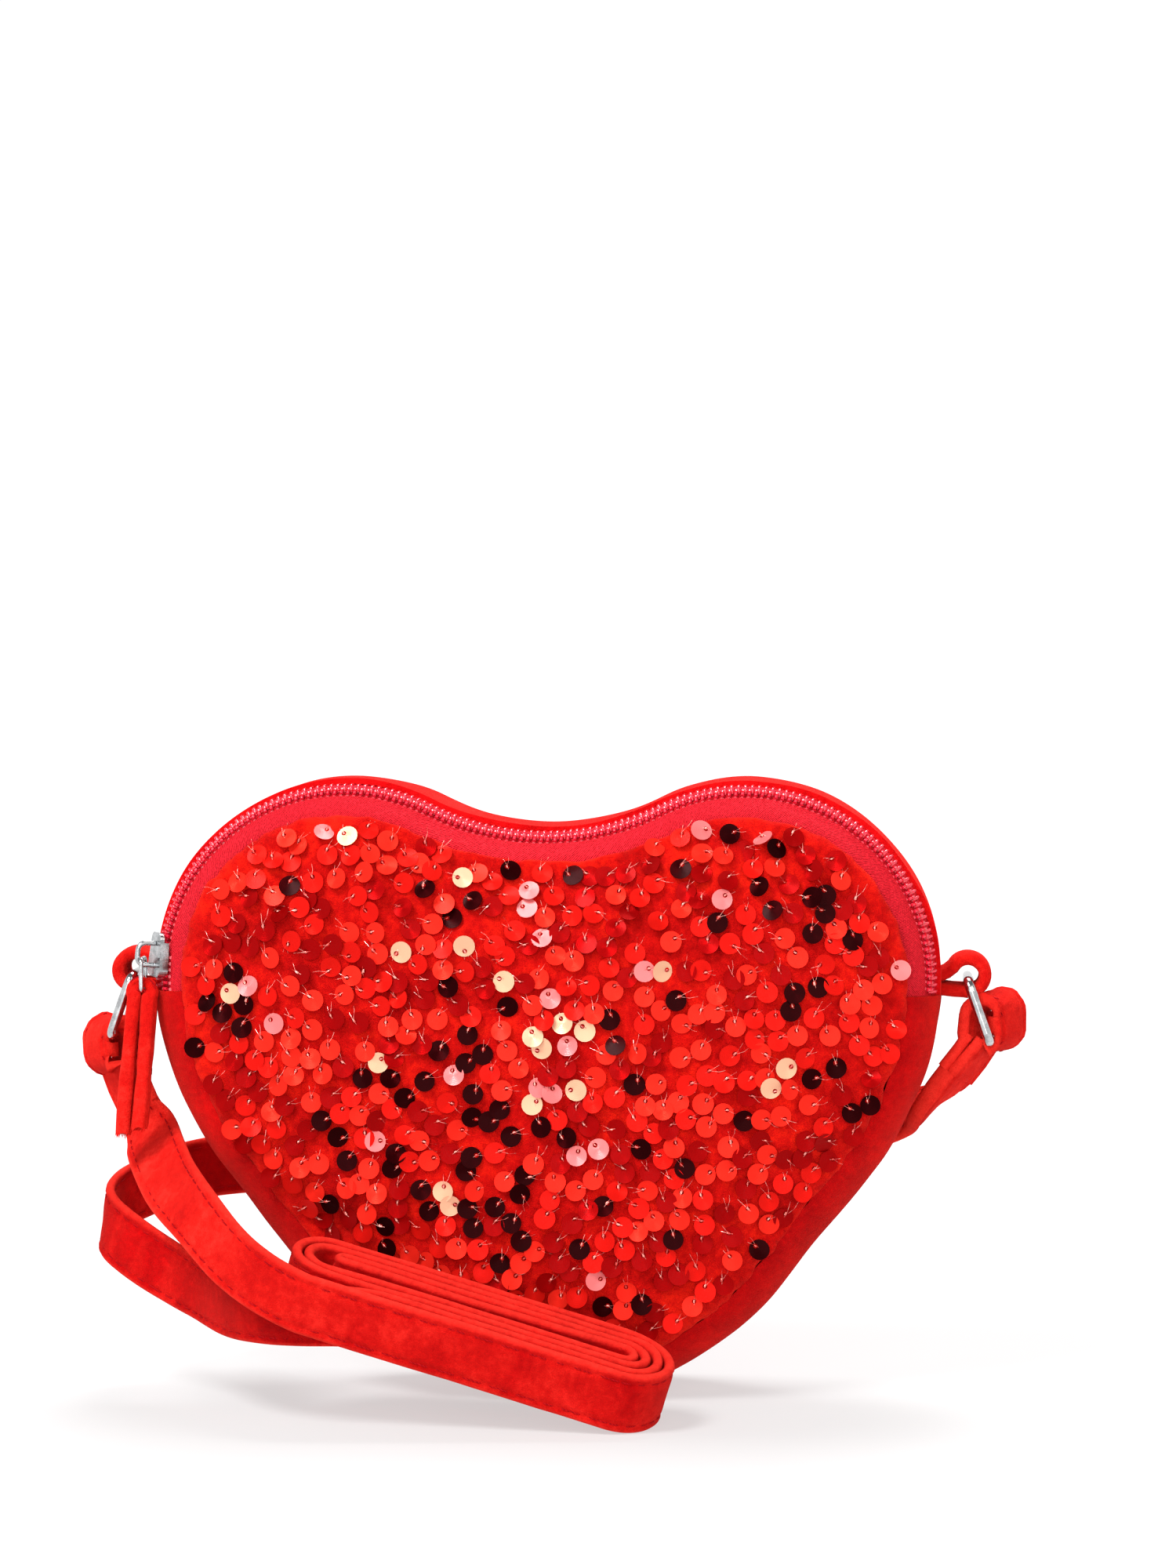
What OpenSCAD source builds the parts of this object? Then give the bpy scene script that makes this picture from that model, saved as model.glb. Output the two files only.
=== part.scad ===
// A small heart shaped purse on a shoulder strap. X runs to the right, Y to the back and Z up.
// The origin is the middle of the flat patch that the tip of the heart stands on.

/* [Heart] */
// Width over both lobes
body_w = 189; // [165:1:215]
// Height from the flat patch to the tops of the lobes
body_h = 148; // [135:1:170]
// Radius of each lobe
lobe_r = 47; // [40:0.5:52]
// Radius of the hollow between the lobes
cleft_r = 60; // [40:1:90]
// Radius of the flanks under the lobes
side_r = 75; // [65:1:85]
// Radius of the rounded tip
tip_r = 72; // [60:1:80]
// How far the tip is pressed flat where it stands
base_press = 0.9; // [0.5:0.1:1.3]

/* [Side strip] */
// Flat width of the strip that joins the two hearts
strip_flat = 21; // [16:0.5:34]
// Radius of its front edge, which the zip lies on
front_edge_r = 11; // [10:0.5:13]
// Radius of its back edge
back_edge_r = 8; // [6:0.5:10]
// How far the strip turns round each edge before its seam, in degrees
edge_turn = 75; // [70:1:80]
// How far the zip's ends lie below the widest level
zip_end_drop = 4; // [2:0.5:8]

/* [Cloth] */
// Thickness of the velvet
velvet_t = 1.4; // [1:0.1:1.6]
// Thickness of the padding behind the velvet hearts
padding_t = 3; // [2:0.25:4]
// Thickness of the lining
lining_t = 0.6; // [0.4:0.1:0.8]
// Swell of the front heart
front_crown = 6; // [3:0.5:9]
// Swell of the back heart
back_crown = 5; // [3:0.5:8]

/* [Sequins] */
// Diameter of a sequin
sequin_d = 5; // [4:0.1:5.4]
// Thickness of a sequin
sequin_t = 0.2; // [0.15:0.05:0.3]
// Distance from one sequin to the next
sequin_pitch = 5.9; // [5.8:0.1:9]
// Share of the heart that the sequins cover, outwards from its middle
sequin_share = 0.9; // [0.7:0.01:0.91]

/* [Zip] */
// Thickness of the zip tape
tape_t = 0.6; // [0.4:0.1:0.7]
// Width of the closed coil over both halves
coil_w = 5.6; // [5:0.2:6]
// Height of the coil
coil_h = 2.4; // [2:0.1:2.6]
// Distance from one loop of the coil to the next
coil_pitch = 1.6; // [1.4:0.1:2.2]
// Lean of the coil to the front, in degrees
chain_tilt = 30; // [25:1:35]
// Where the slider rests, in degrees above the widest level
slider_rest = 6; // [5:1:12]
// Length of the slider
slider_l = 10.6; // [9:0.2:12]
// Width of the slider
slider_w = 8.2; // [7.6:0.1:8.6]
// Thickness of the slider's plates
plate_t = 1; // [0.8:0.1:1.2]
// Diameter of the wire of the bridge on the slider
bridge_wire = 1.2; // [1:0.1:1.4]

/* [Pull] */
// Diameter of the pull ring's wire
pull_wire = 1.1; // [0.9:0.1:1.2]
// Height of the pull ring, from the middle of one bar to that of the other
pull_ring_h = 7.7; // [7:0.1:10]
// Width of the pull ring, from the middle of one leg to that of the other
pull_ring_w = 5.2; // [5:0.1:6]
// Width of the pull tab
pull_tab_w = 9.5; // [8:0.5:12]
// Length of the pull tab below the ring
pull_tab_l = 31; // [25:1:40]
// Thickness of each of the tab's two layers
pull_tab_t = 2.1; // [1.6:0.1:2.6]
// Lean of the pull tab away from the heart, in degrees
pull_tab_lean = 5; // [0:1:8]

/* [Rings and their loops] */
// Diameter of the rings' wire
ring_wire = 2.4; // [2:0.1:2.8]
// Height of a ring, from the middle of one bar to that of the other
ring_h = 15.4; // [14:0.2:18]
// Room in a ring for the strap's width
ring_gap = 15.8; // [15.6:0.1:18]
// Lean of the rings away from the heart, in degrees
ring_lean = 19.5; // [15:0.5:24]
// Radius of the bends in a ring
ring_bend_r = 2.4; // [2:0.1:4]
// Width of the velvet loops that hold the rings
loop_w = 12; // [10:0.5:14]
// Thickness of those loops
loop_t = 2.4; // [1.8:0.1:2.5]
// Outer radius of those loops
loop_r = 5; // [4.8:0.1:5.6]

/* [Strap] */
// Width of the strap
strap_w = 15; // [12:0.5:15.4]
// Thickness of the strap
strap_t = 2.4; // [1.8:0.1:2.6]
// Length of the strap's sewn ends from the middles of their loops
strap_end_l = 14; // [12:0.5:16]
// Outer radius of the loops that the strap makes round the rings
strap_loop_r = 6.2; // [5.8:0.1:6.6]
// How much longer than round those loops are
strap_loop_rise = 3; // [1:0.5:4]
// Lean of the strap's left end towards the heart, in degrees
left_end_lean = 24; // [15:1:30]
// Lean of the strap's right end towards the heart, in degrees
right_end_lean = 39; // [34:1:42]

/* [Wound strap] */
// Length of the wound strap
hank_l = 96; // [80:1:120]
// Space between two layers
layer_gap = 0.5; // [0.45:0.05:0.8]
// Slope of the wound strap, down to the right, in degrees
hank_slope = 16.5; // [12:0.5:20]
// Lean of its top towards the viewer, in degrees
hank_lean = 14; // [8:1:20]
// How far its right end reaches to the right
hank_right = 28.5; // [10:0.5:45]
// How far its front lies before the front seam
hank_before = 38; // [36:1:50]
// How far its lowest corner is pressed flat where it lies
hank_press = 0.4; // [0.2:0.1:0.6]

/* [Hidden] */

// Room left at a seam, and round what moves
seam_gap = 0.15;
clearance = 0.3;
overrun = 1;
sequin_lift = 0.1;
degrees = 180 / PI;

// The outline of the heart: arcs about these middles, with a straight stretch on each flank
widest_z = body_h - lobe_r;
lobe_x = body_w / 2 - lobe_r;
side_x = body_w / 2 - side_r;
tip_z = tip_r - base_press;
cleft_z = widest_z + sqrt(pow(lobe_r + cleft_r, 2) - pow(lobe_x, 2));
cleft_a = asin(lobe_x / (lobe_r + cleft_r));
base_a = acos(tip_z / tip_r);
middles = norm([side_x, widest_z - tip_z]);
flank_a = atan2(widest_z - tip_z, side_x) - acos((tip_r - side_r) / middles);
flank_l = sqrt(pow(middles, 2) - pow(side_r - tip_r, 2));
zip_end_a = asin(zip_end_drop / side_r);
zip_gap_a = asin(seam_gap / side_r);
outline_fn = 180;

// The strip's section, and the seams that the two hearts are sewn into
front_seam_inset = front_edge_r * (1 - cos(edge_turn));
back_seam_inset = back_edge_r * (1 - cos(edge_turn));
front_seam_y = -strip_flat / 2 - front_edge_r * sin(edge_turn);
back_seam_y = strip_flat / 2 + back_edge_r * sin(edge_turn);
edge_steps = 4;

// The coil lies on the tape, which is one velvet's thickness under the strip's outside
tape_r = front_edge_r - velvet_t;
chain_inset = front_edge_r - tape_r * cos(chain_tilt);
chain_y = -strip_flat / 2 - tape_r * sin(chain_tilt);
coil_edge_a = asin((coil_w / 2 + 2 * seam_gap) / tape_r);
slider_edge_a = asin((slider_w / 2 + clearance) / tape_r);
tape_under_velvet = 5;
tape_lap = 4;
tape_end_y = -strip_flat / 2 + tape_under_velvet;
chain_side_l = (side_r - chain_inset) * zip_end_a / degrees;
chain_lobe_l = (lobe_r - chain_inset) * (90 + cleft_a) / degrees;
chain_cleft_l = (cleft_r + chain_inset) * 2 * cleft_a / degrees;
chain_l = 2 * chain_side_l + 2 * chain_lobe_l + chain_cleft_l;
loop_count = floor(chain_l / coil_pitch);
tooth_reach = 0.6;
tooth_gap = 0.12;
coil_groove = 0.5;

// Crown of a padded heart, from its edge to its middle
ring_shares = [1, 0.93, 0.8, 0.6, 0.33];
crown_shares = [0, 0.36, 0.68, 0.9, 0.98];
panel_mid_z = widest_z - lobe_r / 5;
tip_steps = 5;
side_steps = 5;
lobe_steps = 12;
cleft_steps = 5;

function between(a, b, share) = a + (b - a) * share;
function polar(middle, r, a) = middle + r * [cos(a), sin(a)];
function unit(v) = v / norm(v);

// Stations of the right half, each with its arc's middle and radius, the sign that an inset takes
// on the radius, and its angle
lower_stations = concat(
    [for (i = [0:tip_steps]) [[0, tip_z], tip_r, -1, between(base_a - 90, flank_a, i / tip_steps)]],
    [for (i = [0:side_steps - 1])
        [[side_x, widest_z], side_r, -1, between(flank_a, 0, i / side_steps)]]
);
upper_stations = concat(
    [for (i = [0:lobe_steps])
        [[lobe_x, widest_z], lobe_r, -1, between(0, 90 + cleft_a, i / lobe_steps)]],
    [for (i = [1:cleft_steps])
        [[0, cleft_z], cleft_r, 1, between(cleft_a - 90, -90, i / cleft_steps)]]
);
zip_stations = concat([[[side_x, widest_z], side_r, -1, zip_gap_a - zip_end_a]], upper_stations);

function at_station(s, inset) = polar(s[0], s[1] + s[2] * inset, s[3]);
function mirrored(list) = [for (i = [len(list) - 2:-1:0]) [-list[i][0], list[i][1]]];

function heart_points(inset) =
    let (half = [for (s = concat(lower_stations, upper_stations)) at_station(s, inset)])
    concat(half, mirrored(half));

// One ring of a heart, drawn in towards its middle by a share and set at a depth
function heart_ring(inset, share, y) = [
    for (p = heart_points(inset)) [share * p[0], y, between(panel_mid_z, p[1], share)]
];

// A closed solid through rings of equal count, with flat or pointed ends
module ring_solid(rings) {
    n = len(rings[0]);
    last = len(rings) - 1;
    polyhedron(
        points = [for (r = rings) each r],
        faces = concat(
            [[for (j = [0:n - 1]) j]],
            [for (i = [0:last - 1], j = [0:n - 1]) each [
                [i * n + j, (i + 1) * n + j, (i + 1) * n + (j + 1) % n],
                [i * n + j, (i + 1) * n + (j + 1) % n, i * n + (j + 1) % n]
            ]],
            [[for (j = [n - 1:-1:0]) last * n + j]]
        )
    );
}

// One layer of a padded heart. The outside is at depth y, and the layer grows in direction inward.
module heart_layer(inset, y, thickness, crown, inward) {
    n = len(heart_points(inset));
    steps = len(ring_shares);
    outer = [for (i = [steps - 1:-1:0])
        heart_ring(inset, ring_shares[i], y - inward * crown * crown_shares[i])];
    inner = [for (i = [0:steps - 1])
        heart_ring(inset, ring_shares[i], y - inward * crown * crown_shares[i] + inward * thickness)];
    rings = concat(outer, inner);
    outer_mid = [0, y - inward * crown, panel_mid_z];
    inner_mid = outer_mid + [0, inward * thickness, 0];
    count = len(rings);
    side = [for (i = [0:count - 2], j = [0:n - 1]) each [
        [i * n + j, (i + 1) * n + j, (i + 1) * n + (j + 1) % n],
        [i * n + j, (i + 1) * n + (j + 1) % n, i * n + (j + 1) % n]
    ]];
    ends = [for (j = [0:n - 1]) each [
        [count * n, j, (j + 1) % n],
        [count * n + 1, (count - 1) * n + (j + 1) % n, (count - 1) * n + j]
    ]];
    faces = concat(side, ends);
    polyhedron(
        points = concat([for (r = rings) each r], [outer_mid, inner_mid]),
        faces = inward < 0 ? faces : [for (f = faces) [f[2], f[1], f[0]]]
    );
}

// Sequins lie in rows on the front heart, each flat on the facet under its middle. A facet is the
// stretch between two rings and two of their points, and its height falls evenly with the share.
panel_points = [for (p = heart_points(front_seam_inset + seam_gap)) p - [0, panel_mid_z]];
panel_count = len(panel_points);
sequin_hole_share = 0.16;
sequin_hole_place_share = 0.55;
sequin_fn = 32;
hole_turn = 137;

function flat_cross(a, b) = a[0] * b[1] - a[1] * b[0];
function facet_share(p, j) =
    let (a = panel_points[j], b = panel_points[(j + 1) % panel_count])
    flat_cross(a, p) < 0 || flat_cross(p, b) <= 0 ? undef : flat_cross(p, b - a) / flat_cross(a, b);

module sequin_field() {
    row = sequin_pitch * sin(60);
    rows = ceil(body_h / row);
    columns = ceil(body_w / sequin_pitch);
    for (i = [-rows:rows], k = [-columns:columns], j = [0:panel_count - 1]) {
        p = [(k + abs(i % 2) / 2) * sequin_pitch, i * row];
        share = facet_share(p, j);
        if (!is_undef(share) && share < sequin_share) {
            n = len([for (r = ring_shares) if (r > share) r]) - 1;
            next_share = n + 1 < len(ring_shares) ? ring_shares[n + 1] : 0;
            next_crown = n + 1 < len(ring_shares) ? crown_shares[n + 1] : 1;
            slope = (next_crown - crown_shares[n]) / (ring_shares[n] - next_share) * front_crown;
            lift = front_crown * crown_shares[n] + (ring_shares[n] - share) * slope;
            a = panel_points[j];
            edge = panel_points[(j + 1) % panel_count] - a;
            across = unit([edge[0], 0, edge[1]]);
            out = unit(cross([a[0], slope, a[1]], across));
            rise = cross(out, across);
            place = [p[0], front_seam_y - lift, panel_mid_z + p[1]] + sequin_lift * out;
            multmatrix([for (c = [0:2]) [across[c], rise[c], out[c], place[c]]])
                rotate(hole_turn * (i * columns + k))
                    linear_extrude(sequin_t)
                        difference() {
                            circle(sequin_d / 2, $fn = sequin_fn);
                            translate([0, sequin_hole_place_share * sequin_d / 2])
                                circle(sequin_hole_share * sequin_d / 2, $fn = sequin_fn);
                        }
        }
    }
}

// A section is drawn with x as minus the inset from the outline and y as the depth.
function front_edge(depth, a) =
    [(front_edge_r - depth) * cos(a) - front_edge_r, -strip_flat / 2 - (front_edge_r - depth) * sin(a)];
function back_edge(depth, a) =
    [(back_edge_r - depth) * cos(a) - back_edge_r, strip_flat / 2 + (back_edge_r - depth) * sin(a)];
function front_turn(depth) = acos((front_edge_r - front_seam_inset) / (front_edge_r - depth));
function back_turn(depth) = acos((back_edge_r - back_seam_inset) / (back_edge_r - depth));
function front_arc(depth, a0, a1) =
    [for (i = [0:edge_steps]) front_edge(depth, between(a0, a1, i / edge_steps))];
function back_arc(depth, a0, a1) =
    [for (i = [0:edge_steps]) back_edge(depth, between(a0, a1, i / edge_steps))];

// The whole strip, from the front seam to the back seam, between two depths
module strip_section(top, bottom) {
    polygon(concat(
        front_arc(top, front_turn(top), 0), back_arc(top, 0, back_turn(top)),
        back_arc(bottom, back_turn(bottom), 0), front_arc(bottom, 0, front_turn(bottom))
    ));
}

// The upper strip's velvet starts beside the slider's way
velvet_start_a = max(chain_tilt - slider_edge_a, 1);
function top_velvet_section() = concat(
    [front_edge(0, velvet_start_a), front_edge(0, 0)], back_arc(0, 0, back_turn(0)),
    back_arc(velvet_t, back_turn(velvet_t), 0),
    [front_edge(velvet_t, 0), front_edge(velvet_t, velvet_start_a)]
);

// Its lining ends at the tape's sewn edge
tape_under = velvet_t + tape_t;
function top_lining_section() = concat(
    [[-tape_under, tape_end_y - tape_lap]], back_arc(tape_under, 0, back_turn(tape_under)),
    back_arc(tape_under + lining_t, back_turn(tape_under + lining_t), 0),
    [[-tape_under - lining_t, tape_end_y - tape_lap]]
);

function front_tape_section() = concat(
    front_arc(velvet_t, front_turn(velvet_t), chain_tilt + coil_edge_a),
    front_arc(tape_under, chain_tilt + coil_edge_a, front_turn(tape_under))
);

function rear_tape_section() = concat(
    front_arc(velvet_t, chain_tilt - coil_edge_a, 0),
    [[-velvet_t, tape_end_y], [-tape_under, tape_end_y]],
    front_arc(tape_under, 0, chain_tilt - coil_edge_a)
);

// A section carried round an arc of the outline, by angles from a0 to a1
module arc_stretch(middle, r, a0, a1) {
    rotate([90, 0, 0])
        translate([middle[0], middle[1], 0])
            rotate([0, 0, a0])
                rotate_extrude(angle = a1 - a0, $fn = outline_fn)
                    translate([r, 0])
                        mirror([0, 1])
                            children();
}

module both_sides() {
    children();
    mirror([1, 0, 0])
        children();
}

// A section carried over both lobes, from one end of the zip to the other
module over_the_top(section) {
    right = [for (s = zip_stations) [for (p = section)
        let (q = at_station(s, -p[0]))
        [q[0], p[1], q[1]]
    ]];
    left = [for (i = [len(right) - 2:-1:0]) [for (p = right[i]) [-p[0], p[1], p[2]]]];
    ring_solid(concat(right, left));
}

module round_the_bottom() {
    both_sides() {
        arc_stretch([side_x, widest_z], side_r, flank_a, -zip_end_a)
            children();
        rotate([90, 0, 0])
            translate([side_x, widest_z, 0])
                rotate([0, 0, flank_a])
                    translate([side_r, 0, 0])
                        rotate([90, 0, 0])
                            linear_extrude(flank_l)
                                mirror([0, 1])
                                    children();
    }
    difference() {
        arc_stretch([0, tip_z], tip_r, -180 - flank_a, flank_a)
            children();
        translate([-body_w / 2, -body_w / 2, -body_w])
            cube([body_w, body_w, body_w]);
    }
}

// Along the coil: the arc that a distance from its left end lies on
function chain_place(s) =
    let (
        lobe_end = chain_side_l + chain_lobe_l,
        cleft_end = lobe_end + chain_cleft_l,
        far_lobe_end = cleft_end + chain_lobe_l
    )
    s < chain_side_l
    ? [[-side_x, widest_z], side_r, -1, 180 + zip_end_a - s / (side_r - chain_inset) * degrees]
    : s < lobe_end
    ? [[-lobe_x, widest_z], lobe_r, -1, 180 - (s - chain_side_l) / (lobe_r - chain_inset) * degrees]
    : s < cleft_end
    ? [[0, cleft_z], cleft_r, 1, -90 - cleft_a + (s - lobe_end) / (cleft_r + chain_inset) * degrees]
    : s < far_lobe_end
    ? [[lobe_x, widest_z], lobe_r, -1, 90 + cleft_a - (s - cleft_end) / (lobe_r - chain_inset) * degrees]
    : [[side_x, widest_z], side_r, -1, -(s - far_lobe_end) / (side_r - chain_inset) * degrees];

// A point of the coil, by its distance along, its width to the front and its height off the tape
function chain_point(s, across, up) =
    let (
        place = chain_place(s),
        inset = chain_inset + across * sin(chain_tilt) - up * cos(chain_tilt),
        y = chain_y - across * cos(chain_tilt) - up * sin(chain_tilt),
        p = polar(place[0], place[1] + place[2] * inset, place[3])
    )
    [p[0], y, p[1]];

// The slider holds the two halves apart on the last loops before the left end
slider_s = chain_side_l + (lobe_r - chain_inset) * slider_rest / degrees;
parted_s = slider_s + slider_l / 4;
parted = 1.5;

// One half of the coil, a row of loops that reach between those of the other half
module coil_half(front) {
    sign = front ? 1 : -1;
    ring_solid([for (i = [0:2 * loop_count])
        let (
            s = i * chain_l / (2 * loop_count),
            loop = (i % 2 == 0) == front,
            tip = (loop ? -tooth_reach : tooth_reach) + tooth_gap / 2,
            inner = sign * (s < parted_s ? parted : tip),
            top = coil_h / 2 - (loop ? 0 : coil_groove),
            outer = sign * coil_w / 2,
            ring = [
                chain_point(s, outer, -coil_h / 2), chain_point(s, outer, top),
                chain_point(s, inner, top), chain_point(s, inner, -coil_h / 2)
            ]
        )
        front ? [ring[3], ring[2], ring[1], ring[0]] : ring
    ]);
}

// The slider's own directions: down the coil, to the front and away from the tape
slider_down = [-sin(slider_rest), 0, -cos(slider_rest)];
slider_front = [sin(chain_tilt) * cos(slider_rest), -cos(chain_tilt), -sin(chain_tilt) * sin(slider_rest)];
slider_up = [-cos(chain_tilt) * cos(slider_rest), -sin(chain_tilt), cos(chain_tilt) * sin(slider_rest)];
slider_mid = [
    -lobe_x - (lobe_r - chain_inset) * cos(slider_rest), chain_y,
    widest_z + (lobe_r - chain_inset) * sin(slider_rest)
];
function slider_point(p) = slider_mid + p[0] * slider_down + p[1] * slider_front + p[2] * slider_up;

module on_slider() {
    multmatrix([for (i = [0:2]) [slider_down[i], slider_front[i], slider_up[i], slider_mid[i]]])
        children();
}

// Heights in the slider, off the tape's outside
chain_bulge = pow(slider_l / 2, 2) / (2 * (lobe_r - chain_inset));
upper_plate_up = coil_h / 2 + clearance;
lower_plate_share = 0.75;
tape_fall = tape_r - sqrt(pow(tape_r, 2) - pow(lower_plate_share * slider_w / 2, 2));
lower_plate_up = -coil_h / 2 - tape_fall - tape_t - chain_bulge - clearance - seam_gap;
flange_t = 0.9;
flange_up = clearance;
wedge_w = 2 * (parted - clearance);
wedge_l = slider_l * 0.4;
slider_fn = 32;
bridge_l = slider_l / 2;
pull_bar_up = upper_plate_up + plate_t + 2.6 * pull_wire;
bridge_up = pull_bar_up + pull_wire / 2 + bridge_wire / 2 + clearance;
bridge_bend_r = 1.5 * bridge_wire;
pull_bar_down = bridge_l / 2 - bridge_wire / 2 - pull_wire / 2 - clearance;
pull_hinge = slider_point([pull_bar_down, 0, pull_bar_up]);

// A slider plate, broad at the end that leads and narrower behind
module plate_outline() {
    nose = slider_w / 4;
    tail = slider_w / 5;
    hull() {
        for (side = [-1, 1]) {
            translate([slider_l / 2 - nose, side * (slider_w / 2 - nose)])
                circle(nose, $fn = slider_fn);
            translate([tail - slider_l / 2, side * (slider_w / 2 - 1.6 * tail)])
                circle(tail, $fn = slider_fn);
        }
    }
}

// Wire from one point up over a bend to another, in the slider's upright plane
module bridge() {
    r = bridge_wire / 2;
    half = bridge_l / 2;
    foot = upper_plate_up + plate_t / 2;
    straight = bridge_up - bridge_bend_r;
    translate([half, 0, foot])
        cylinder(h = straight - foot, r = r, $fn = slider_fn);
    translate([-half, 0, upper_plate_up + plate_t + seam_gap])
        cylinder(h = straight - upper_plate_up - plate_t - seam_gap, r = r, $fn = slider_fn);
    translate([bridge_bend_r - half, 0, bridge_up])
        rotate([0, 90, 0])
            cylinder(h = 2 * (half - bridge_bend_r), r = r, $fn = slider_fn);
    for (turn = [0, 180])
        rotate([0, 0, turn])
            translate([half - bridge_bend_r, 0, straight])
                rotate([90, 0, 0])
                    rotate_extrude(angle = 90, $fn = slider_fn)
                        translate([bridge_bend_r, 0])
                            circle(r, $fn = slider_fn);
}

module slider() {
    on_slider() {
        translate([0, 0, upper_plate_up])
            linear_extrude(plate_t)
                plate_outline();
        translate([0, 0, lower_plate_up - plate_t])
            linear_extrude(plate_t)
                scale([1, lower_plate_share])
                    plate_outline();
        translate([slider_l / 2 - wedge_l - wedge_w / 4, -wedge_w / 2, lower_plate_up - plate_t / 2])
            cube([wedge_l, wedge_w, upper_plate_up - lower_plate_up + plate_t]);
        intersection() {
            translate([0, 0, flange_up])
                linear_extrude(upper_plate_up - flange_up + plate_t / 2)
                    plate_outline();
            for (side = [-1, 1])
                translate([-slider_l / 2, side * (slider_w - flange_t) / 2 - flange_t / 2, 0])
                    cube([slider_l, flange_t, slider_w]);
        }
        bridge();
    }
}

// A ring of round wire: two bars along Y and two legs along Z, its upper bar at the origin
module wire_ring(height, width, wire, bend_r) {
    r = wire / 2;
    fn = slider_fn;
    for (z = [0, -height])
        translate([0, bend_r - width / 2, z])
            rotate([-90, 0, 0])
                cylinder(h = width - 2 * bend_r, r = r, $fn = fn);
    for (side = [-1, 1])
        translate([0, side * width / 2, bend_r - height])
            cylinder(h = height - 2 * bend_r, r = r, $fn = fn);
    for (side = [0, 1], low = [0, 1])
        mirror([0, side, 0])
            translate([0, width / 2 - bend_r, low ? bend_r - height : -bend_r])
                mirror([0, 0, low])
                    rotate([90, 0, 90])
                        rotate_extrude(angle = 90, $fn = 2 * fn)
                            translate([bend_r, 0])
                                circle(r, $fn = fn);
}

// The pull tab: a folded strip, gathered where it goes round the pull ring's lower bar
pull_tab_hinge = pull_hinge - [0, 0, pull_ring_h];
tab_hole_r = pull_wire / 2 + clearance;
tab_outer_r = tab_hole_r + pull_tab_t;
tab_neck_w = pull_ring_w - pull_wire - 2 * clearance;
tab_neck_l = 5;
tab_spread_l = 7;

module folded_tab() {
    difference() {
        union() {
            rotate([90, 0, 0])
                cylinder(h = tab_neck_w, r = tab_outer_r, center = true, $fn = slider_fn);
            translate([-pull_tab_t, -tab_neck_w / 2, -tab_neck_l - overrun])
                cube([2 * pull_tab_t, tab_neck_w, tab_neck_l + overrun]);
        }
        rotate([90, 0, 0])
            cylinder(h = tab_neck_w + overrun, r = tab_hole_r, center = true, $fn = slider_fn);
    }
    rotate([90, 0, 0])
        linear_extrude(2 * pull_tab_t, center = true)
            polygon([
                [-pull_tab_t, -tab_neck_l], [-pull_tab_w / 2, -tab_neck_l - tab_spread_l],
                [-pull_tab_w / 2, -pull_tab_l], [pull_tab_w / 2, -pull_tab_l],
                [pull_tab_w / 2, -tab_neck_l - tab_spread_l], [pull_tab_t, -tab_neck_l]
            ]);
}

// The velvet loop at the right end of the zip, and the ring that hangs in it
loop_foot_x = body_w / 2 + seam_gap;
loop_mid = [loop_foot_x + loop_r + loop_t / 2, widest_z];
loop_hole_r = loop_r - loop_t;
ring_bar = loop_mid - [0, loop_hole_r - ring_wire / 2 - clearance];
ring_w = ring_gap + ring_wire;
strap_bar = ring_bar + ring_h * [sin(ring_lean), -cos(ring_lean)];
loop_fn = 48;

module ring_loop() {
    rotate([90, 0, 0])
        linear_extrude(loop_w, center = true)
            difference() {
                hull() {
                    translate(loop_mid)
                        circle(loop_r, $fn = loop_fn);
                    translate([loop_foot_x, widest_z - loop_t])
                        square([loop_t / 2, 2 * loop_t]);
                }
                translate(loop_mid)
                    circle(loop_hole_r, $fn = loop_fn);
            }
}

module side_ring() {
    translate([ring_bar[0], 0, ring_bar[1]])
        rotate([0, -ring_lean, 0])
            wire_ring(ring_h, ring_w, ring_wire, ring_bend_r);
}

// The strap's end: it goes round the ring's lower bar, and its two layers are sewn together.
// The bar lies low in the right loop and at the top of the left loop.
strap_hole_r = strap_loop_r - strap_t;
bar_play = strap_hole_r - ring_wire / 2 - clearance;
right_loop_mid = strap_bar + bar_play * [sin(ring_lean), cos(ring_lean)];
right_loop_far = right_loop_mid + [0, strap_loop_rise];
left_loop_far = strap_bar + bar_play * [sin(ring_lean), -cos(ring_lean)];
left_loop_mid = left_loop_far - [0, strap_loop_rise];

function end_dir(lean) = [-sin(lean), -cos(lean)];

module strap_end(middle, far, lean) {
    rotate([90, 0, 0])
        linear_extrude(strap_w, center = true)
            difference() {
                union() {
                    hull()
                        for (p = [middle, far])
                            translate(p)
                                circle(strap_loop_r, $fn = loop_fn);
                    translate(middle)
                        rotate(180 - lean)
                            translate([-strap_t, 0])
                                square([2 * strap_t, strap_end_l]);
                }
                hull()
                    for (p = [middle, far])
                        translate(p)
                            circle(strap_hole_r, $fn = loop_fn);
            }
}

// Where the strap's runs leave its sewn ends
right_end = right_loop_mid + (strap_end_l + seam_gap) * end_dir(right_end_lean);
left_end = left_loop_mid + (strap_end_l + seam_gap) * end_dir(left_end_lean);
right_leaves = [right_end[0], 0, right_end[1]];
left_leaves = [-left_end[0], 0, left_end[1]];
right_down = [end_dir(right_end_lean)[0], 0, end_dir(right_end_lean)[1]];
left_down = [-end_dir(left_end_lean)[0], 0, end_dir(left_end_lean)[1]];

// The wound strap, seen along its width: the strap is doubled, its fold lies inside, and both
// halves wind outwards side by side in two turns. Arcs about two middles make the turns.
layer_pitch = strap_t + layer_gap;
turn_r = 3.4 * layer_pitch;
hank_outer_r = turn_r + layer_pitch / 2 + strap_t / 2;
hank_a = hank_l / 2 - hank_outer_r;
fold_in = 3;
turn_steps = 14;
run_steps = 6;
inner_start_share = 0.2;

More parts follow.
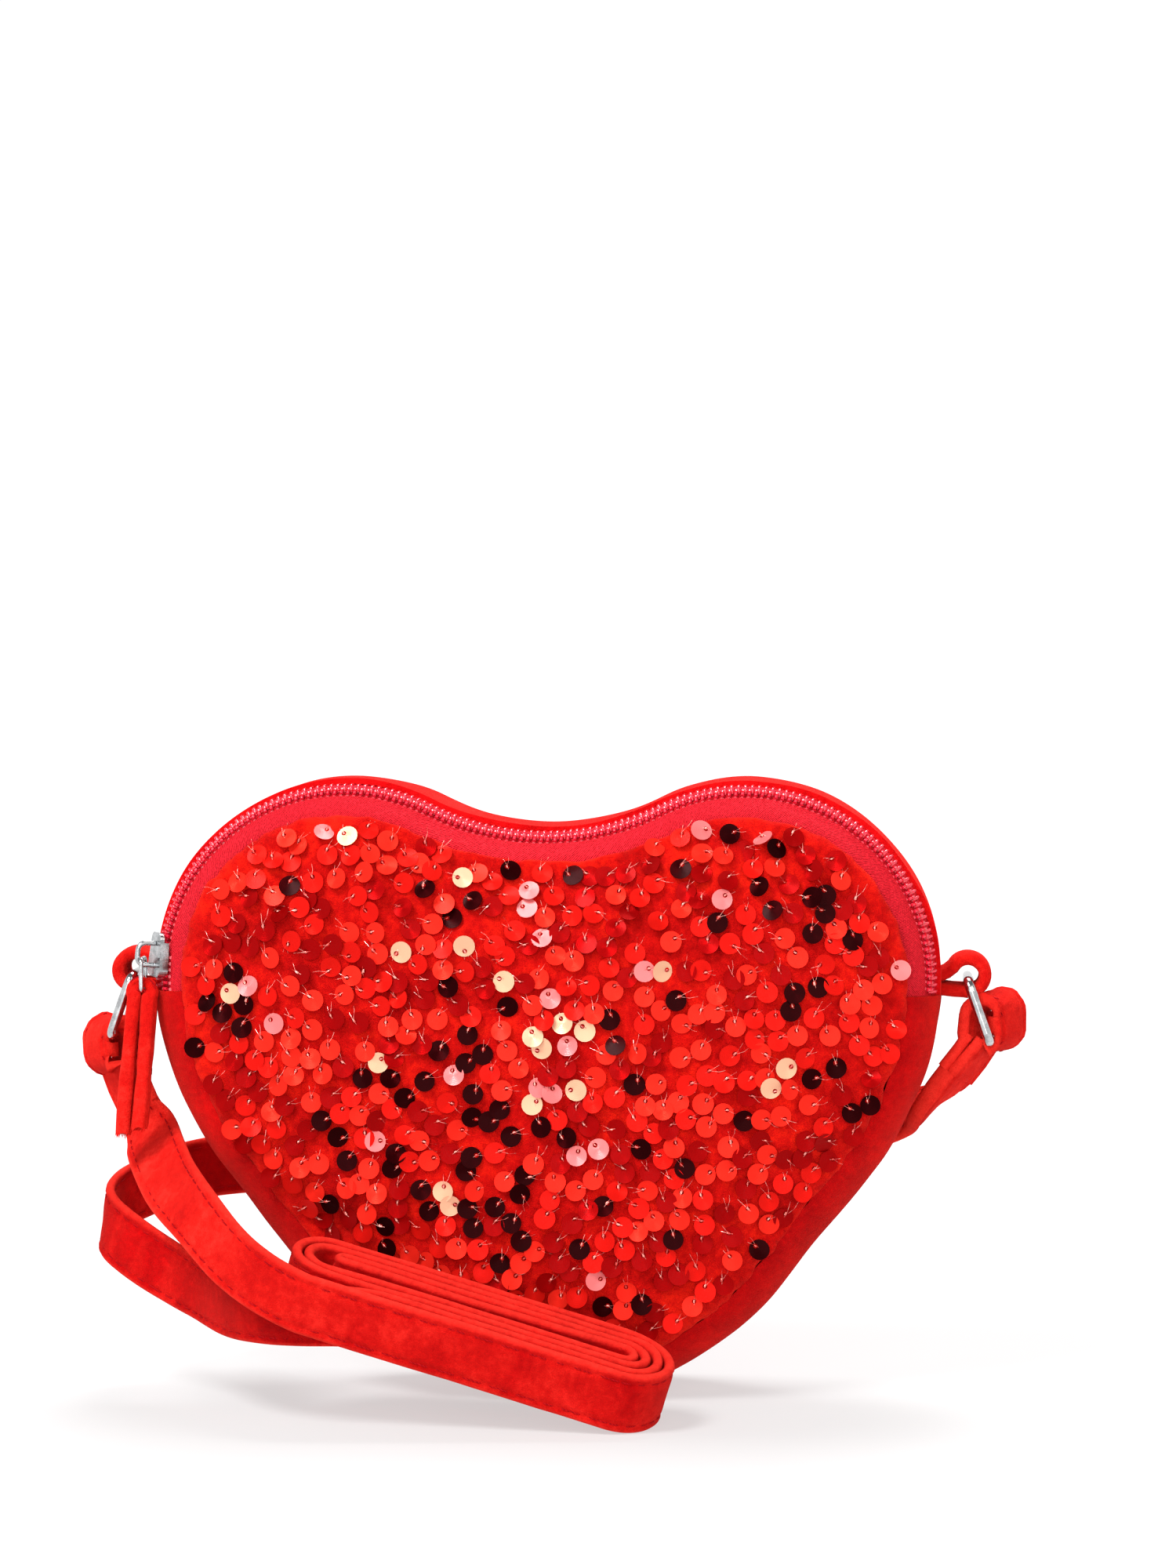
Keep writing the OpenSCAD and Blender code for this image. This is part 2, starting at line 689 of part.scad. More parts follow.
function run(from, to, v) = [for (i = [0:run_steps]) [between(from, to, i / run_steps), v]];
function turn(middle, r, a0, a1) =
    [for (i = [1:turn_steps - 1]) polar(middle, r, between(a0, a1, i / turn_steps))];

// One half of the doubled strap, off the path's middle by out, from its start to its fold
function wound_half(out, start) = concat(
    run(start, hank_a, -turn_r - out),
    turn([hank_a, 0], turn_r + out, -90, 90),
    run(hank_a, -hank_a, turn_r + out),
    turn([-hank_a, layer_pitch], turn_r - layer_pitch + out, 90, 270),
    run(-hank_a, hank_a, 2 * layer_pitch - turn_r - out),
    turn([hank_a, 0], turn_r - 2 * layer_pitch + out, -90, 90),
    run(hank_a, fold_in - hank_a, turn_r - 2 * layer_pitch + out)
);
function reversed(list) = [for (i = [len(list) - 1:-1:0]) list[i]];

front_start = -hank_a - strap_t;
inner_start = between(-hank_a, hank_a, inner_start_share);
wound_path = concat(
    wound_half(layer_pitch / 2, front_start),
    turn([fold_in - hank_a, turn_r - 2 * layer_pitch], layer_pitch / 2, 90, 270),
    reversed(wound_half(-layer_pitch / 2, inner_start))
);

function heading(path, i) =
    unit(path[min(i + 1, len(path) - 1)] - path[max(i - 1, 0)]);
function beside(path, i, off) = path[i] + off * [-heading(path, i)[1], heading(path, i)[0]];

// Least gap from the wound strap to itself, over points that are far apart along it
far_apart = ceil(turn_steps * 0.8);
least_gap = min([
    for (i = [0:len(wound_path) - 1], j = [i + far_apart:1:len(wound_path) - 1])
        norm(wound_path[i] - wound_path[j])
]) - strap_t;
echo(least_gap_of_the_wound_strap = least_gap, wound_layers = 8);

// The wound strap's place: its lowest corner is pressed on the ground
hank_drop = hank_outer_r * (
    sin(hank_slope) + sin(hank_lean) * cos(hank_slope)
    - norm([sin(hank_slope), sin(hank_lean) * cos(hank_slope)])
);
hank_corner = [hank_right, front_seam_y - hank_before, -hank_drop - hank_press];

function turned(p) =
    let (
        leaned = [
            p[0], p[1] * cos(hank_lean) - p[2] * sin(hank_lean),
            p[1] * sin(hank_lean) + p[2] * cos(hank_lean)
        ]
    )
    [
        leaned[0] * cos(hank_slope) + leaned[2] * sin(hank_slope), leaned[1],
        leaned[2] * cos(hank_slope) - leaned[0] * sin(hank_slope)
    ];
function on_hank(u, v, w) = hank_corner + turned([u - hank_l / 2, v + hank_outer_r, w]);

module wound_strap() {
    last = len(wound_path) - 1;
    outline = concat(
        [for (i = [0:last]) beside(wound_path, i, strap_t / 2)],
        [for (i = [last:-1:0]) beside(wound_path, i, -strap_t / 2)]
    );
    difference() {
        translate(hank_corner)
            rotate([0, hank_slope, 0])
                rotate([hank_lean, 0, 0])
                    translate([-hank_l / 2, hank_outer_r, 0])
                        linear_extrude(strap_w)
                            polygon(outline);
        translate([-body_w / 2, -body_w, -body_w])
            cube([body_w, body_w, body_w]);
    }
}

// A run of strap through places, each with a point, a heading and the direction of its width
function hermite(p, q, s) =
    let (t = p[1] * norm(q[0] - p[0]), u = q[1] * norm(q[0] - p[0]))
    (2 * pow(s, 3) - 3 * pow(s, 2) + 1) * p[0] + (pow(s, 3) - 2 * pow(s, 2) + s) * t
    + (3 * pow(s, 2) - 2 * pow(s, 3)) * q[0] + (pow(s, 3) - pow(s, 2)) * u;
ribbon_step = 2 * strap_t;
function ribbon_steps(p, q) = max(2, round(norm(q[0] - p[0]) / ribbon_step));
function ribbon_path(places) = concat(
    [for (k = [0:len(places) - 2])
        let (p = places[k], q = places[k + 1], steps = ribbon_steps(p, q))
        for (i = [0:steps - 1])
            [hermite(p, q, i / steps), unit(between(p[2], q[2], i / steps))]],
    [[places[len(places) - 1][0], places[len(places) - 1][2]]]
);

module ribbon(places) {
    path = ribbon_path(places);
    last = len(path) - 1;
    ring_solid([for (i = [0:last])
        let (
            along = i == 0 ? places[0][1] : i == last ? places[len(places) - 1][1]
                : path[i + 1][0] - path[i - 1][0],
            face = unit(cross(along, path[i][1])) * strap_t / 2,
            width = unit(cross(face, along)) * strap_w / 2,
            p = path[i][0]
        )
        [p - width - face, p + width - face, p + width + face, p - width + face]
    ]);
}

// Directions of the wound strap, and where each run meets it
hank_along = turned([1, 0, 0]);
hank_up = turned([0, 0, 1]);
front_meets = on_hank(front_start, -turn_r - layer_pitch / 2, strap_w / 2) - seam_gap * hank_along;
back_meets = on_hank(inner_start, layer_pitch / 2 - turn_r, strap_w / 2) - seam_gap * hank_along;

// The back run goes behind the heart, level, round its left side in an open loop, and in under the
// front layer of the wound strap. The front run drops from the left ring to the wound strap.
// Places are shares of half the body's width, of the depth of the front seam and of the widest
// level. Each has a heading and the direction of the strap's width.
right_bend_shares = [0.962, 0.71, 0.66];
right_bend_heading = [-0.45, 0.8, -0.35];
right_bend_width = [0.4, 0.62, 0.68];
behind_shares = [[0.6, 0.59], [0, 0.53], [-0.6, 0.5]];
behind_headings = [[-1, 0.06, -0.15], [-1, 0, -0.05], [-1, -0.04, 0]];
left_turn_shares = [-0.93, 0.95, 0.49];
left_turn_heading = [-0.85, -0.5, -0.1];
left_loop_shares = [-1.13, -0.2, 0.405];
left_loop_heading = [0, -1, -0.2];
left_loop_width = [-0.1, 0, 1];
left_front_shares = [-0.889, -1.09, 0.292];
left_front_heading = [0.66, -0.72, -0.2];
left_front_width = [0.1, 0, 1];
front_drop_shares = [-0.968, -0.95, 0.545];
front_drop_heading = [0.42, -0.66, -0.62];
front_drop_width = [0.83, 0, 0.56];
front_reach_shares = [-0.854, -1.99, 0.475];
front_reach_heading = [0.55, -0.65, -0.5];
front_reach_width = [0.55, -0.1, 0.8];
behind_y = back_seam_y + back_crown + strap_t;
dip = strap_w / 2;
dip_along = 4 * strap_t;
dip_back = 0.85 * strap_t;
dip_a = 20;
dip_lean_share = 0.3;
up = [0, 0, 1];
to_back = [0, 1, 0];
to_front = [0, -1, 0];
function placed(shares) =
    [shares[0] * body_w / 2, -shares[1] * front_seam_y, shares[2] * widest_z];
function behind(shares) = [shares[0] * body_w / 2, behind_y, shares[1] * widest_z];
back_places = [
    [right_leaves, right_down, to_back],
    [right_leaves + 2.5 * strap_t * right_down, right_down, to_back],
    [placed(right_bend_shares), right_bend_heading, right_bend_width],
    [behind(behind_shares[0]), behind_headings[0], up],
    [behind(behind_shares[1]), behind_headings[1], up],
    [behind(behind_shares[2]), behind_headings[2], up],
    [placed(left_turn_shares), left_turn_heading, up],
    [placed(left_loop_shares), left_loop_heading, left_loop_width],
    [placed(left_front_shares), left_front_heading, left_front_width],
    [
        on_hank(-hank_a - dip_along, layer_pitch / 2 - turn_r + dip_back, strap_w / 2 - dip),
        cos(dip_a) * hank_along + sin(dip_a) * hank_up - dip_lean_share * turned(to_back),
        cos(dip_a) * hank_up - sin(dip_a) * hank_along
    ],
    [back_meets, hank_along, hank_up]
];
front_places = [
    [left_leaves, left_down, to_front],
    [left_leaves + strap_t * left_down, left_down, to_front],
    [placed(front_drop_shares), front_drop_heading, front_drop_width],
    [placed(front_reach_shares), front_reach_heading, front_reach_width],
    [front_meets, hank_along, hank_up]
];

module front_panel() {
    color("orangered")
        heart_layer(front_seam_inset + seam_gap, front_seam_y, velvet_t, front_crown, 1);
}

module front_padding() {
    color("whitesmoke")
        heart_layer(front_seam_inset + seam_gap, front_seam_y + velvet_t, padding_t, front_crown, 1);
}

module front_lining() {
    color("firebrick")
        heart_layer(front_seam_inset + seam_gap, front_seam_y + velvet_t + padding_t, lining_t,
            front_crown, 1);
}

module sequins() {
    color("tomato")
        sequin_field();
}

module back_panel() {
    color("red")
        heart_layer(back_seam_inset + seam_gap, back_seam_y, velvet_t, back_crown, -1);
}

module back_padding() {
    color("whitesmoke")
        heart_layer(back_seam_inset + seam_gap, back_seam_y - velvet_t, padding_t, back_crown, -1);
}

module back_lining() {
    color("firebrick")
        heart_layer(back_seam_inset + seam_gap, back_seam_y - velvet_t - padding_t, lining_t,
            back_crown, -1);
}

module lower_gusset() {
    color("red")
        round_the_bottom()
            strip_section(0, velvet_t);
}

module lower_gusset_lining() {
    color("firebrick")
        round_the_bottom()
            strip_section(velvet_t, velvet_t + lining_t);
}

module top_gusset() {
    color("red")
        over_the_top(top_velvet_section());
}

module top_gusset_lining() {
    color("firebrick")
        over_the_top(top_lining_section());
}

module zip_tape_front() {
    color("crimson")
        over_the_top(front_tape_section());
}

module zip_tape_rear() {
    color("crimson")
        over_the_top(rear_tape_section());
}

module zip_coil_front() {
    color("mediumvioletred")
        coil_half(true);
}

module zip_coil_rear() {
    color("mediumvioletred")
        coil_half(false);
}

module slider_body() {
    color("silver")
        slider();
}

module pull_ring() {
    color("silver")
        translate(pull_hinge)
            wire_ring(pull_ring_h, pull_ring_w, pull_wire, pull_wire);
}

module pull_tab() {
    color("red")
        translate(pull_tab_hinge)
            rotate([0, pull_tab_lean, 0])
                folded_tab();
}

module right_ring_loop() {
    color("red")
        ring_loop();
}

module left_ring_loop() {
    color("red")
        mirror([1, 0, 0])
            ring_loop();
}

module right_ring() {
    color("silver")
        side_ring();
}

module left_ring() {
    color("silver")
        mirror([1, 0, 0])
            side_ring();
}

module strap_right_end() {
    color("red")
        strap_end(right_loop_mid, right_loop_far, right_end_lean);
}

module strap_left_end() {
    color("red")
        mirror([1, 0, 0])
            strap_end(left_loop_mid, left_loop_far, left_end_lean);
}

module strap_front_run() {
    color("red")
        ribbon(front_places);
}

module strap_hank() {
    color("red")
        wound_strap();
}

module strap_back_run() {
    color("red")
        ribbon(back_places);
}

front_panel();
front_padding();
front_lining();
sequins();
back_panel();
back_padding();
back_lining();
lower_gusset();
lower_gusset_lining();
top_gusset();
top_gusset_lining();
zip_tape_front();
zip_tape_rear();
zip_coil_front();
zip_coil_rear();
slider_body();
pull_ring();
pull_tab();
left_ring_loop();
right_ring_loop();
left_ring();
right_ring();
strap_left_end();
strap_front_run();
strap_hank();
strap_back_run();
strap_right_end();
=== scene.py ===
import math
import random

import bmesh
import bpy
import numpy as np
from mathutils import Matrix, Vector, noise
from mathutils.bvhtree import BVHTree
from mathutils.geometry import delaunay_2d_cdt


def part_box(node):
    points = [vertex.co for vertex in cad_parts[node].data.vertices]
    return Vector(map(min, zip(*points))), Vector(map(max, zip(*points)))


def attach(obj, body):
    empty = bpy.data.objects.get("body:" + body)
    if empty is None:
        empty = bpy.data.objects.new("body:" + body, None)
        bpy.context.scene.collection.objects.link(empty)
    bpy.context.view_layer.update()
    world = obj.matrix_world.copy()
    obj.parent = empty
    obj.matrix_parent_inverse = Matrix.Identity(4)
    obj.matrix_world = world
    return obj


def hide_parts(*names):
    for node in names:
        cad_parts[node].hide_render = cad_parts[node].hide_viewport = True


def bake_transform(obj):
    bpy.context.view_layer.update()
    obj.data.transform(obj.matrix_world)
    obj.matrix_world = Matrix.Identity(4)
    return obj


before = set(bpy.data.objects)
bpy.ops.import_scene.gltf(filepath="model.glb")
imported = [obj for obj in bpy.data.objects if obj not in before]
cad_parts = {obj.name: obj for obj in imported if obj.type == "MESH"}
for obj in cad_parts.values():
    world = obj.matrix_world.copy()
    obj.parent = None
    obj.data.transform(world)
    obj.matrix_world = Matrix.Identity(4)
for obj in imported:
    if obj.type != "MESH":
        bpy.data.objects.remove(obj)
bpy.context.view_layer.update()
mm = 0.001
print("frame loaded:", len(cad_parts), "nodes")


def hexColour(text):  # sRGB hex to the linear values that Blender takes
    parts = [int(text[i:i + 2], 16) / 255 for i in (1, 3, 5)]
    return [p / 12.92 if p <= 0.04045 else ((p + 0.055) / 1.055) ** 2.4 for p in parts] + [1]


def socketNamed(sockets, key):
    return sockets[key] if isinstance(key, int) else next(s for s in sockets if s.name == key and s.enabled)


def addNode(tree, kind, inputs=None, stops=None, **settings):  # stops are a colour ramp's {place: hex colour}
    node = tree.nodes.new(kind)
    for key, value in settings.items():
        setattr(node, key, value)
    for key, value in (inputs or {}).items():
        socket = socketNamed(node.inputs, key)
        if isinstance(value, bpy.types.NodeSocket):
            tree.links.new(value, socket)
        else:
            socket.default_value = value
    if stops:
        elements = node.color_ramp.elements
        while len(elements) < len(stops):
            elements.new(0.5)
        for element, (place, colour) in zip(elements, sorted(stops.items())):
            element.position = place
            element.color = hexColour(colour)
    return node


def perMetre(size):  # scale of a pattern on Object coordinates, from the size of its grain
    return 1 / (size * mm)


def newMaterial(name, **shader):  # returns the material, its tree and its Principled node
    material = bpy.data.materials.new(name)
    material.use_nodes = True
    tree = material.node_tree
    surface = tree.nodes["Principled BSDF"]
    for key, value in shader.items():
        surface.inputs[key.replace("_", " ")].default_value = value
    return material, tree, surface


def newPiece(name, points, faces, material, values=None):
    mesh = bpy.data.meshes.new(name)
    mesh.from_pydata([[c * mm for c in p] for p in points], [], faces)
    mesh.validate()
    mesh.materials.append(material)
    for key, data in (values or {}).items():  # per-point values that a material or a tree reads
        kind, field = ("FLOAT_VECTOR", "vector") if np.ndim(data) == 2 else ("FLOAT", "value")
        layer = mesh.attributes.new(key, kind, "POINT")
        layer.data.foreach_set(field, np.ravel(data).astype(np.float32))
    mesh.shade_smooth()
    piece = bpy.data.objects.new(name, mesh)
    bpy.context.scene.collection.objects.link(piece)
    return piece


def applyAll(piece):  # bakes the modifiers into the mesh
    depsgraph = bpy.context.evaluated_depsgraph_get()
    baked = bpy.data.meshes.new_from_object(piece.evaluated_get(depsgraph))
    piece.modifiers.clear()
    old, piece.data = piece.data, baked
    bpy.data.meshes.remove(old)
    baked.name = piece.name
    return piece


def finishPiece(piece, body, slot, *nodes):
    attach(piece, body)
    if nodes:
        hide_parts(*nodes)
    return piece


# Camera, from a fit of the model to the photograph: focal length and width in its pixels
camera = {"place": (86.26, -997.65, 195.43), "turn": 0.077, "nod": -0.049, "focal": 5289.9, "width": 1500}
lens = bpy.data.cameras.new("camera")
lens.sensor_fit = "HORIZONTAL"
lens.sensor_width = 36
lens.lens = camera["focal"] / camera["width"] * lens.sensor_width
lens.clip_start = 0.01
lens.clip_end = 100
eye = bpy.data.objects.new("camera", lens)
eye.location = [c * mm for c in camera["place"]]
eye.rotation_euler = (math.pi / 2 + camera["nod"], 0, camera["turn"])
bpy.context.scene.collection.objects.link(eye)
bpy.context.scene.camera = eye

studio = {  # lengths in metres
    "horizon": 1.02,  # a white cyclorama all round, darker overhead
    "overhead": 0.22,
    "floor": "#858585",  # with its glow it comes out just white, so that shadows show
    "floorGlow": 0.54,
    "farGlow": 0.96,  # the paper far from the lamps
    "glowFrom": 0.25,
    "glowTo": 2.2,
    "sides": 6,
    "front": 3,
    "back": 9,
    "aim": (0, 0, 0.08),
    "lamps": [  # place, size, power, colour
        ((-0.6, -0.8, 1.3), 0.5, 24, "#FFFFFF"),
        ((1.1, -0.9, 0.9), 0.8, 4, "#FFF6EC"),
        ((0.1, 0.7, 1.5), 0.8, 34, "#FFFFFF"),
        ((0.1, -1.6, 0.5), 1.4, 13, "#FFFFFF"),
    ],
}
world = bpy.data.worlds.new("studio")
bpy.context.scene.world = world
world.use_nodes = True
tree = world.node_tree
sky = tree.nodes["Background"]
sky.inputs["Color"].default_value = hexColour("#FFFFFF")
ways = addNode(tree, "ShaderNodeTexCoord").outputs["Generated"]
height = addNode(tree, "ShaderNodeSeparateXYZ", {0: ways}).outputs["Z"]
fade = addNode(tree, "ShaderNodeMapRange", {
    "Value": height, "From Min": 0.3, "From Max": 0.75,
    "To Min": studio["horizon"], "To Max": studio["overhead"],
})
tree.links.new(fade.outputs[0], sky.inputs["Strength"])
bpy.context.scene.view_settings.view_transform = "Standard"
for number, (place, size, power, tint) in enumerate(studio["lamps"]):
    light = bpy.data.lights.new("softbox%d" % number, "AREA")
    light.shape = "SQUARE"
    light.size = size
    light.energy = power
    light.color = hexColour(tint)[:3]
    lamp = bpy.data.objects.new(light.name, light)
    lamp.location = place
    lamp.rotation_euler = (Vector(studio["aim"]) - Vector(place)).to_track_quat("-Z", "Y").to_euler()
    bpy.context.scene.collection.objects.link(lamp)
paper, tree, surface = newMaterial(
    "studio paper", Roughness=0.9, Base_Color=hexColour(studio["floor"]), Emission_Color=hexColour("#FFFFFF")
)
place = addNode(tree, "ShaderNodeTexCoord").outputs["Object"]
distance = addNode(tree, "ShaderNodeVectorMath", {0: place}, operation="LENGTH").outputs["Value"]
glow = addNode(tree, "ShaderNodeMapRange", {
    "Value": distance, "From Min": studio["glowFrom"], "From Max": studio["glowTo"],
    "To Min": studio["floorGlow"], "To Max": studio["farGlow"],
})
tree.links.new(glow.outputs[0], surface.inputs["Emission Strength"])
across, near, far = studio["sides"] / mm, -studio["front"] / mm, studio["back"] / mm
corners = [(-across, near, 0), (across, near, 0), (across, far, 0), (-across, far, 0)]
floor = newPiece("floor", corners, [(0, 1, 2, 3)], paper)
print("camera, lamps and floor set")

velvet = {  # sizes of its grain: the pile is finer than this, and is drawn as coarse as it needs to show
    "patch": 13.33, "mottle": 1.613, "pile": 0.238, "mottleDepth": 0.12, "pileDepth": 0.4,
    "low": 0.36, "high": 0.62,  # where the ramp starts and ends
    "creaseAlong": 9.09, "creaseAcross": 33.3, "highlightFrom": 6.2, "highlightTo": 7.4,
}


# Woven pile cloth: a soft light at its edges and no gloss, darker and lighter where it was brushed
# With shaded colours it also paints shade where a piece is marked shaded, and a painted highlight along a
# strap's edges
def velvetMaterial(name, shades, seed, sheen=0.6, shaded=None, edge=None):
    material, tree, surface = newMaterial(
        name, Roughness=0.85, Sheen_Weight=sheen, Sheen_Roughness=0.4, Sheen_Tint=hexColour("#FF4638"),
        Specular_IOR_Level=0.04,
    )
    place = addNode(tree, "ShaderNodeTexCoord").outputs["Object"]
    patches = addNode(tree, "ShaderNodeTexNoise", {
        "Vector": place, "Scale": perMetre(velvet["patch"]), "Detail": 4.0, "Roughness": 0.6, "W": seed,
    }, noise_dimensions="4D").outputs[0]
    mottle = addNode(tree, "ShaderNodeTexNoise", {
        "Vector": place, "Scale": perMetre(velvet["mottle"]), "Detail": 3.0, "Roughness": 0.65, "W": seed,
    }, noise_dimensions="4D").outputs[0]
    pile = addNode(tree, "ShaderNodeTexNoise", {
        "Vector": place, "Scale": perMetre(velvet["pile"]), "Detail": 3.0,
    }).outputs[0]
    blend = 0.0
    for layer, share in ((patches, 0.5), (mottle, 0.3), (pile, 0.2)):
        sockets = {0: layer, 1: share, 2: blend}
        blend = addNode(tree, "ShaderNodeMath", sockets, operation="MULTIPLY_ADD").outputs[0]
    places = (velvet["low"], 0.5, velvet["high"])
    colour = addNode(tree, "ShaderNodeValToRGB", {0: blend}, dict(zip(places, shades))).outputs[0]
    if shaded:  # each point's shaded share says how much painted shade it takes
        weave = addNode(tree, "ShaderNodeAttribute", attribute_name="weave").outputs["Vector"]
        drawn = {0: weave, 1: (1 / velvet["creaseAlong"], 1 / velvet["creaseAcross"], 0.0)}
        drawn = addNode(tree, "ShaderNodeVectorMath", drawn, operation="MULTIPLY").outputs[0]
        creases = addNode(tree, "ShaderNodeTexNoise", {
            "Vector": drawn, "Scale": 1.0, "Detail": 4.0, "Roughness": 0.6,
        }).outputs[0]
        brushed = addNode(tree, "ShaderNodeMapRange", {
            "Value": creases, "From Min": 0.36, "From Max": 0.64, "To Min": -0.3, "To Max": 0.34,
        }).outputs[0]
        nap = addNode(tree, "ShaderNodeAttribute", attribute_name="nap").outputs["Fac"]
        nap = addNode(tree, "ShaderNodeMath", {0: nap, 1: brushed}, operation="ADD").outputs[0]
        flat = addNode(tree, "ShaderNodeValToRGB", {0: blend}, dict(zip(places, shaded))).outputs[0]
        colour = addNode(tree, "ShaderNodeMix", {0: nap, 6: colour, 7: flat}, data_type="RGBA").outputs[2]
        # A painted highlight along the strap's rounded edges, where the hank's top edges catch the light
        across = addNode(tree, "ShaderNodeSeparateXYZ", {0: weave}).outputs["Y"]
        across = addNode(tree, "ShaderNodeMath", {0: across}, operation="ABSOLUTE").outputs[0]
        fold = addNode(tree, "ShaderNodeMapRange", {
            "Value": across, "From Min": velvet["highlightFrom"], "From Max": velvet["highlightTo"],
        }).outputs[0]
        uneven = addNode(tree, "ShaderNodeMath", {0: mottle, 1: 0.15}, operation="ADD").outputs[0]
        edgeHighlight = addNode(tree, "ShaderNodeMath", {0: fold, 1: uneven}, operation="MULTIPLY").outputs[0]
        colour = addNode(
            tree, "ShaderNodeMix", {0: edgeHighlight, 6: colour, 7: hexColour(edge)}, data_type="RGBA"
        ).outputs[2]
    tree.links.new(colour, surface.inputs["Base Color"])
    soft = addNode(tree, "ShaderNodeBump", {
        "Height": mottle, "Distance": velvet["mottleDepth"] * mm, "Strength": 1.0,
    })
    fine = addNode(tree, "ShaderNodeBump", {
        "Height": pile, "Distance": velvet["pileDepth"] * mm, "Strength": 1.0, "Normal": soft.outputs[0],
    })
    tree.links.new(fine.outputs[0], surface.inputs["Normal"])
    return material


panelVelvet = velvetMaterial("crushed velvet, orange red", ("#8C0003", "#C00A08", "#E61C0C"), 1.0)
gussetVelvet = velvetMaterial("short velvet, red", ("#B80409", "#DA0A10", "#F01618"), 2.0)
# The lower gusset takes a darker copy of the gusset velvet: painted shade on its downward-facing sides
shadedLowerVelvet = velvetMaterial("short velvet, red, brushed down", ("#900006", "#B20408", "#D0080A"), 2.5)
# The strap's shaded colours are painted shade on its parts that face away from the lamps; its edge colour is
# a painted highlight
strapVelvet = velvetMaterial(
    "soft velvet, bright red", ("#BC0A0A", "#DA1812", "#F43026"), 3.0, sheen=0.45,
    shaded=("#960006", "#B20206", "#D2060A"), edge="#F8362A",
)


# Woven tape and lining: fine slanting ribs with a painted highlight on top and painted shade between them.
# The ribs stand 0.63 of the pitch apart, coarser than the real yarn, so that they show. The weave attribute
# is in millimetres.
def twillMaterial(name, low, high, pitch):
    material, tree, surface = newMaterial(name, Roughness=0.62, Specular_IOR_Level=0.08)
    weave = addNode(tree, "ShaderNodeAttribute", attribute_name="weave").outputs["Vector"]
    wobble = addNode(tree, "ShaderNodeTexNoise", {"Vector": weave, "Scale": 1.3, "Detail": 2.0}).outputs[0]
    ribs = addNode(tree, "ShaderNodeTexWave", {
        "Vector": weave, "Scale": 1 / pitch, "Distortion": 1.2, "Detail": 1.0,
    }, bands_direction="DIAGONAL").outputs[1]
    knots = addNode(tree, "ShaderNodeTexVoronoi", {"Vector": weave, "Scale": 1.6 / pitch}).outputs[0]
    height = addNode(tree, "ShaderNodeMath", {0: knots, 1: 0.7, 2: ribs}, operation="MULTIPLY_ADD").outputs[0]
    tone = 0.0
    for layer, share in ((height, 0.5), (wobble, 0.4)):
        sockets = {0: layer, 1: share, 2: tone}
        tone = addNode(tree, "ShaderNodeMath", sockets, operation="MULTIPLY_ADD").outputs[0]
    # lighter on the ribs and knots, darker between them: painted highlight and shade
    colour = addNode(tree, "ShaderNodeValToRGB", {0: tone}, {0.35: low, 0.68: high}).outputs[0]
    tree.links.new(colour, surface.inputs["Base Color"])
    bump = addNode(tree, "ShaderNodeBump", {"Height": height, "Distance": 0.3 * mm, "Strength": 1.0})
    tree.links.new(bump.outputs[0], surface.inputs["Normal"])
    return material


tapeTwill = twillMaterial("woven zip tape, raspberry", "#B80414", "#FC2A3A", 0.9)
liningTwill = twillMaterial("plain woven lining, red", "#A80818", "#D42030", 0.8)

# Spun thread: its plies lie slanting, so it looks like a fine cord. They are drawn coarser than they are,
# so that they show. A diagonal wave of scale 1 repeats over tau / 10.
redThread, tree, surface = newMaterial("spun sewing thread, dark red", Roughness=0.7, Specular_IOR_Level=0.08)
place = addNode(tree, "ShaderNodeTexCoord").outputs["Object"]
plies = addNode(tree, "ShaderNodeTexWave", {
    "Vector": place, "Scale": math.tau / 10 * perMetre(0.698), "Distortion": 2.0,
}, bands_direction="DIAGONAL").outputs[1]
colour = addNode(tree, "ShaderNodeValToRGB", {0: plies}, {0.0: "#8A0008", 1.0: "#B40810"}).outputs[0]
tree.links.new(colour, surface.inputs["Base Color"])
bump = addNode(tree, "ShaderNodeBump", {"Height": plies, "Distance": 0.08 * mm, "Strength": 1.0})
tree.links.new(bump.outputs[0], surface.inputs["Normal"])

# Polyester wadding: matt white tufts
wadding, tree, surface = newMaterial("polyester wadding, white", Roughness=0.95)
place = addNode(tree, "ShaderNodeTexCoord").outputs["Object"]
tuftNoise = {"Vector": place, "Scale": perMetre(2.0), "Detail": 6.0}
tufts = addNode(tree, "ShaderNodeTexNoise", tuftNoise).outputs[0]
colour = addNode(tree, "ShaderNodeValToRGB", {0: tufts}, {0.3: "#D9D6CF", 0.7: "#F7F5F0"}).outputs[0]
tree.links.new(colour, surface.inputs["Base Color"])
bump = addNode(tree, "ShaderNodeBump", {"Height": tufts, "Distance": 1.2 * mm, "Strength": 1.0})
tree.links.new(bump.outputs[0], surface.inputs["Normal"])

# Extruded nylon, dyed: smooth and glossy, with a little light inside it
nylon, tree, surface = newMaterial(
    "dyed nylon coil, deep raspberry", Roughness=0.3, Coat_Weight=0.5, Coat_Roughness=0.2,
    Subsurface_Weight=0.1,
)
place = addNode(tree, "ShaderNodeTexCoord").outputs["Object"]
grainNoise = {"Vector": place, "Scale": perMetre(0.556), "Detail": 2.0}
grain = addNode(tree, "ShaderNodeTexNoise", grainNoise).outputs[0]
colour = addNode(tree, "ShaderNodeValToRGB", {0: grain}, {0.3: "#CC0A26", 0.7: "#EE2440"}).outputs[0]
tree.links.new(colour, surface.inputs["Base Color"])


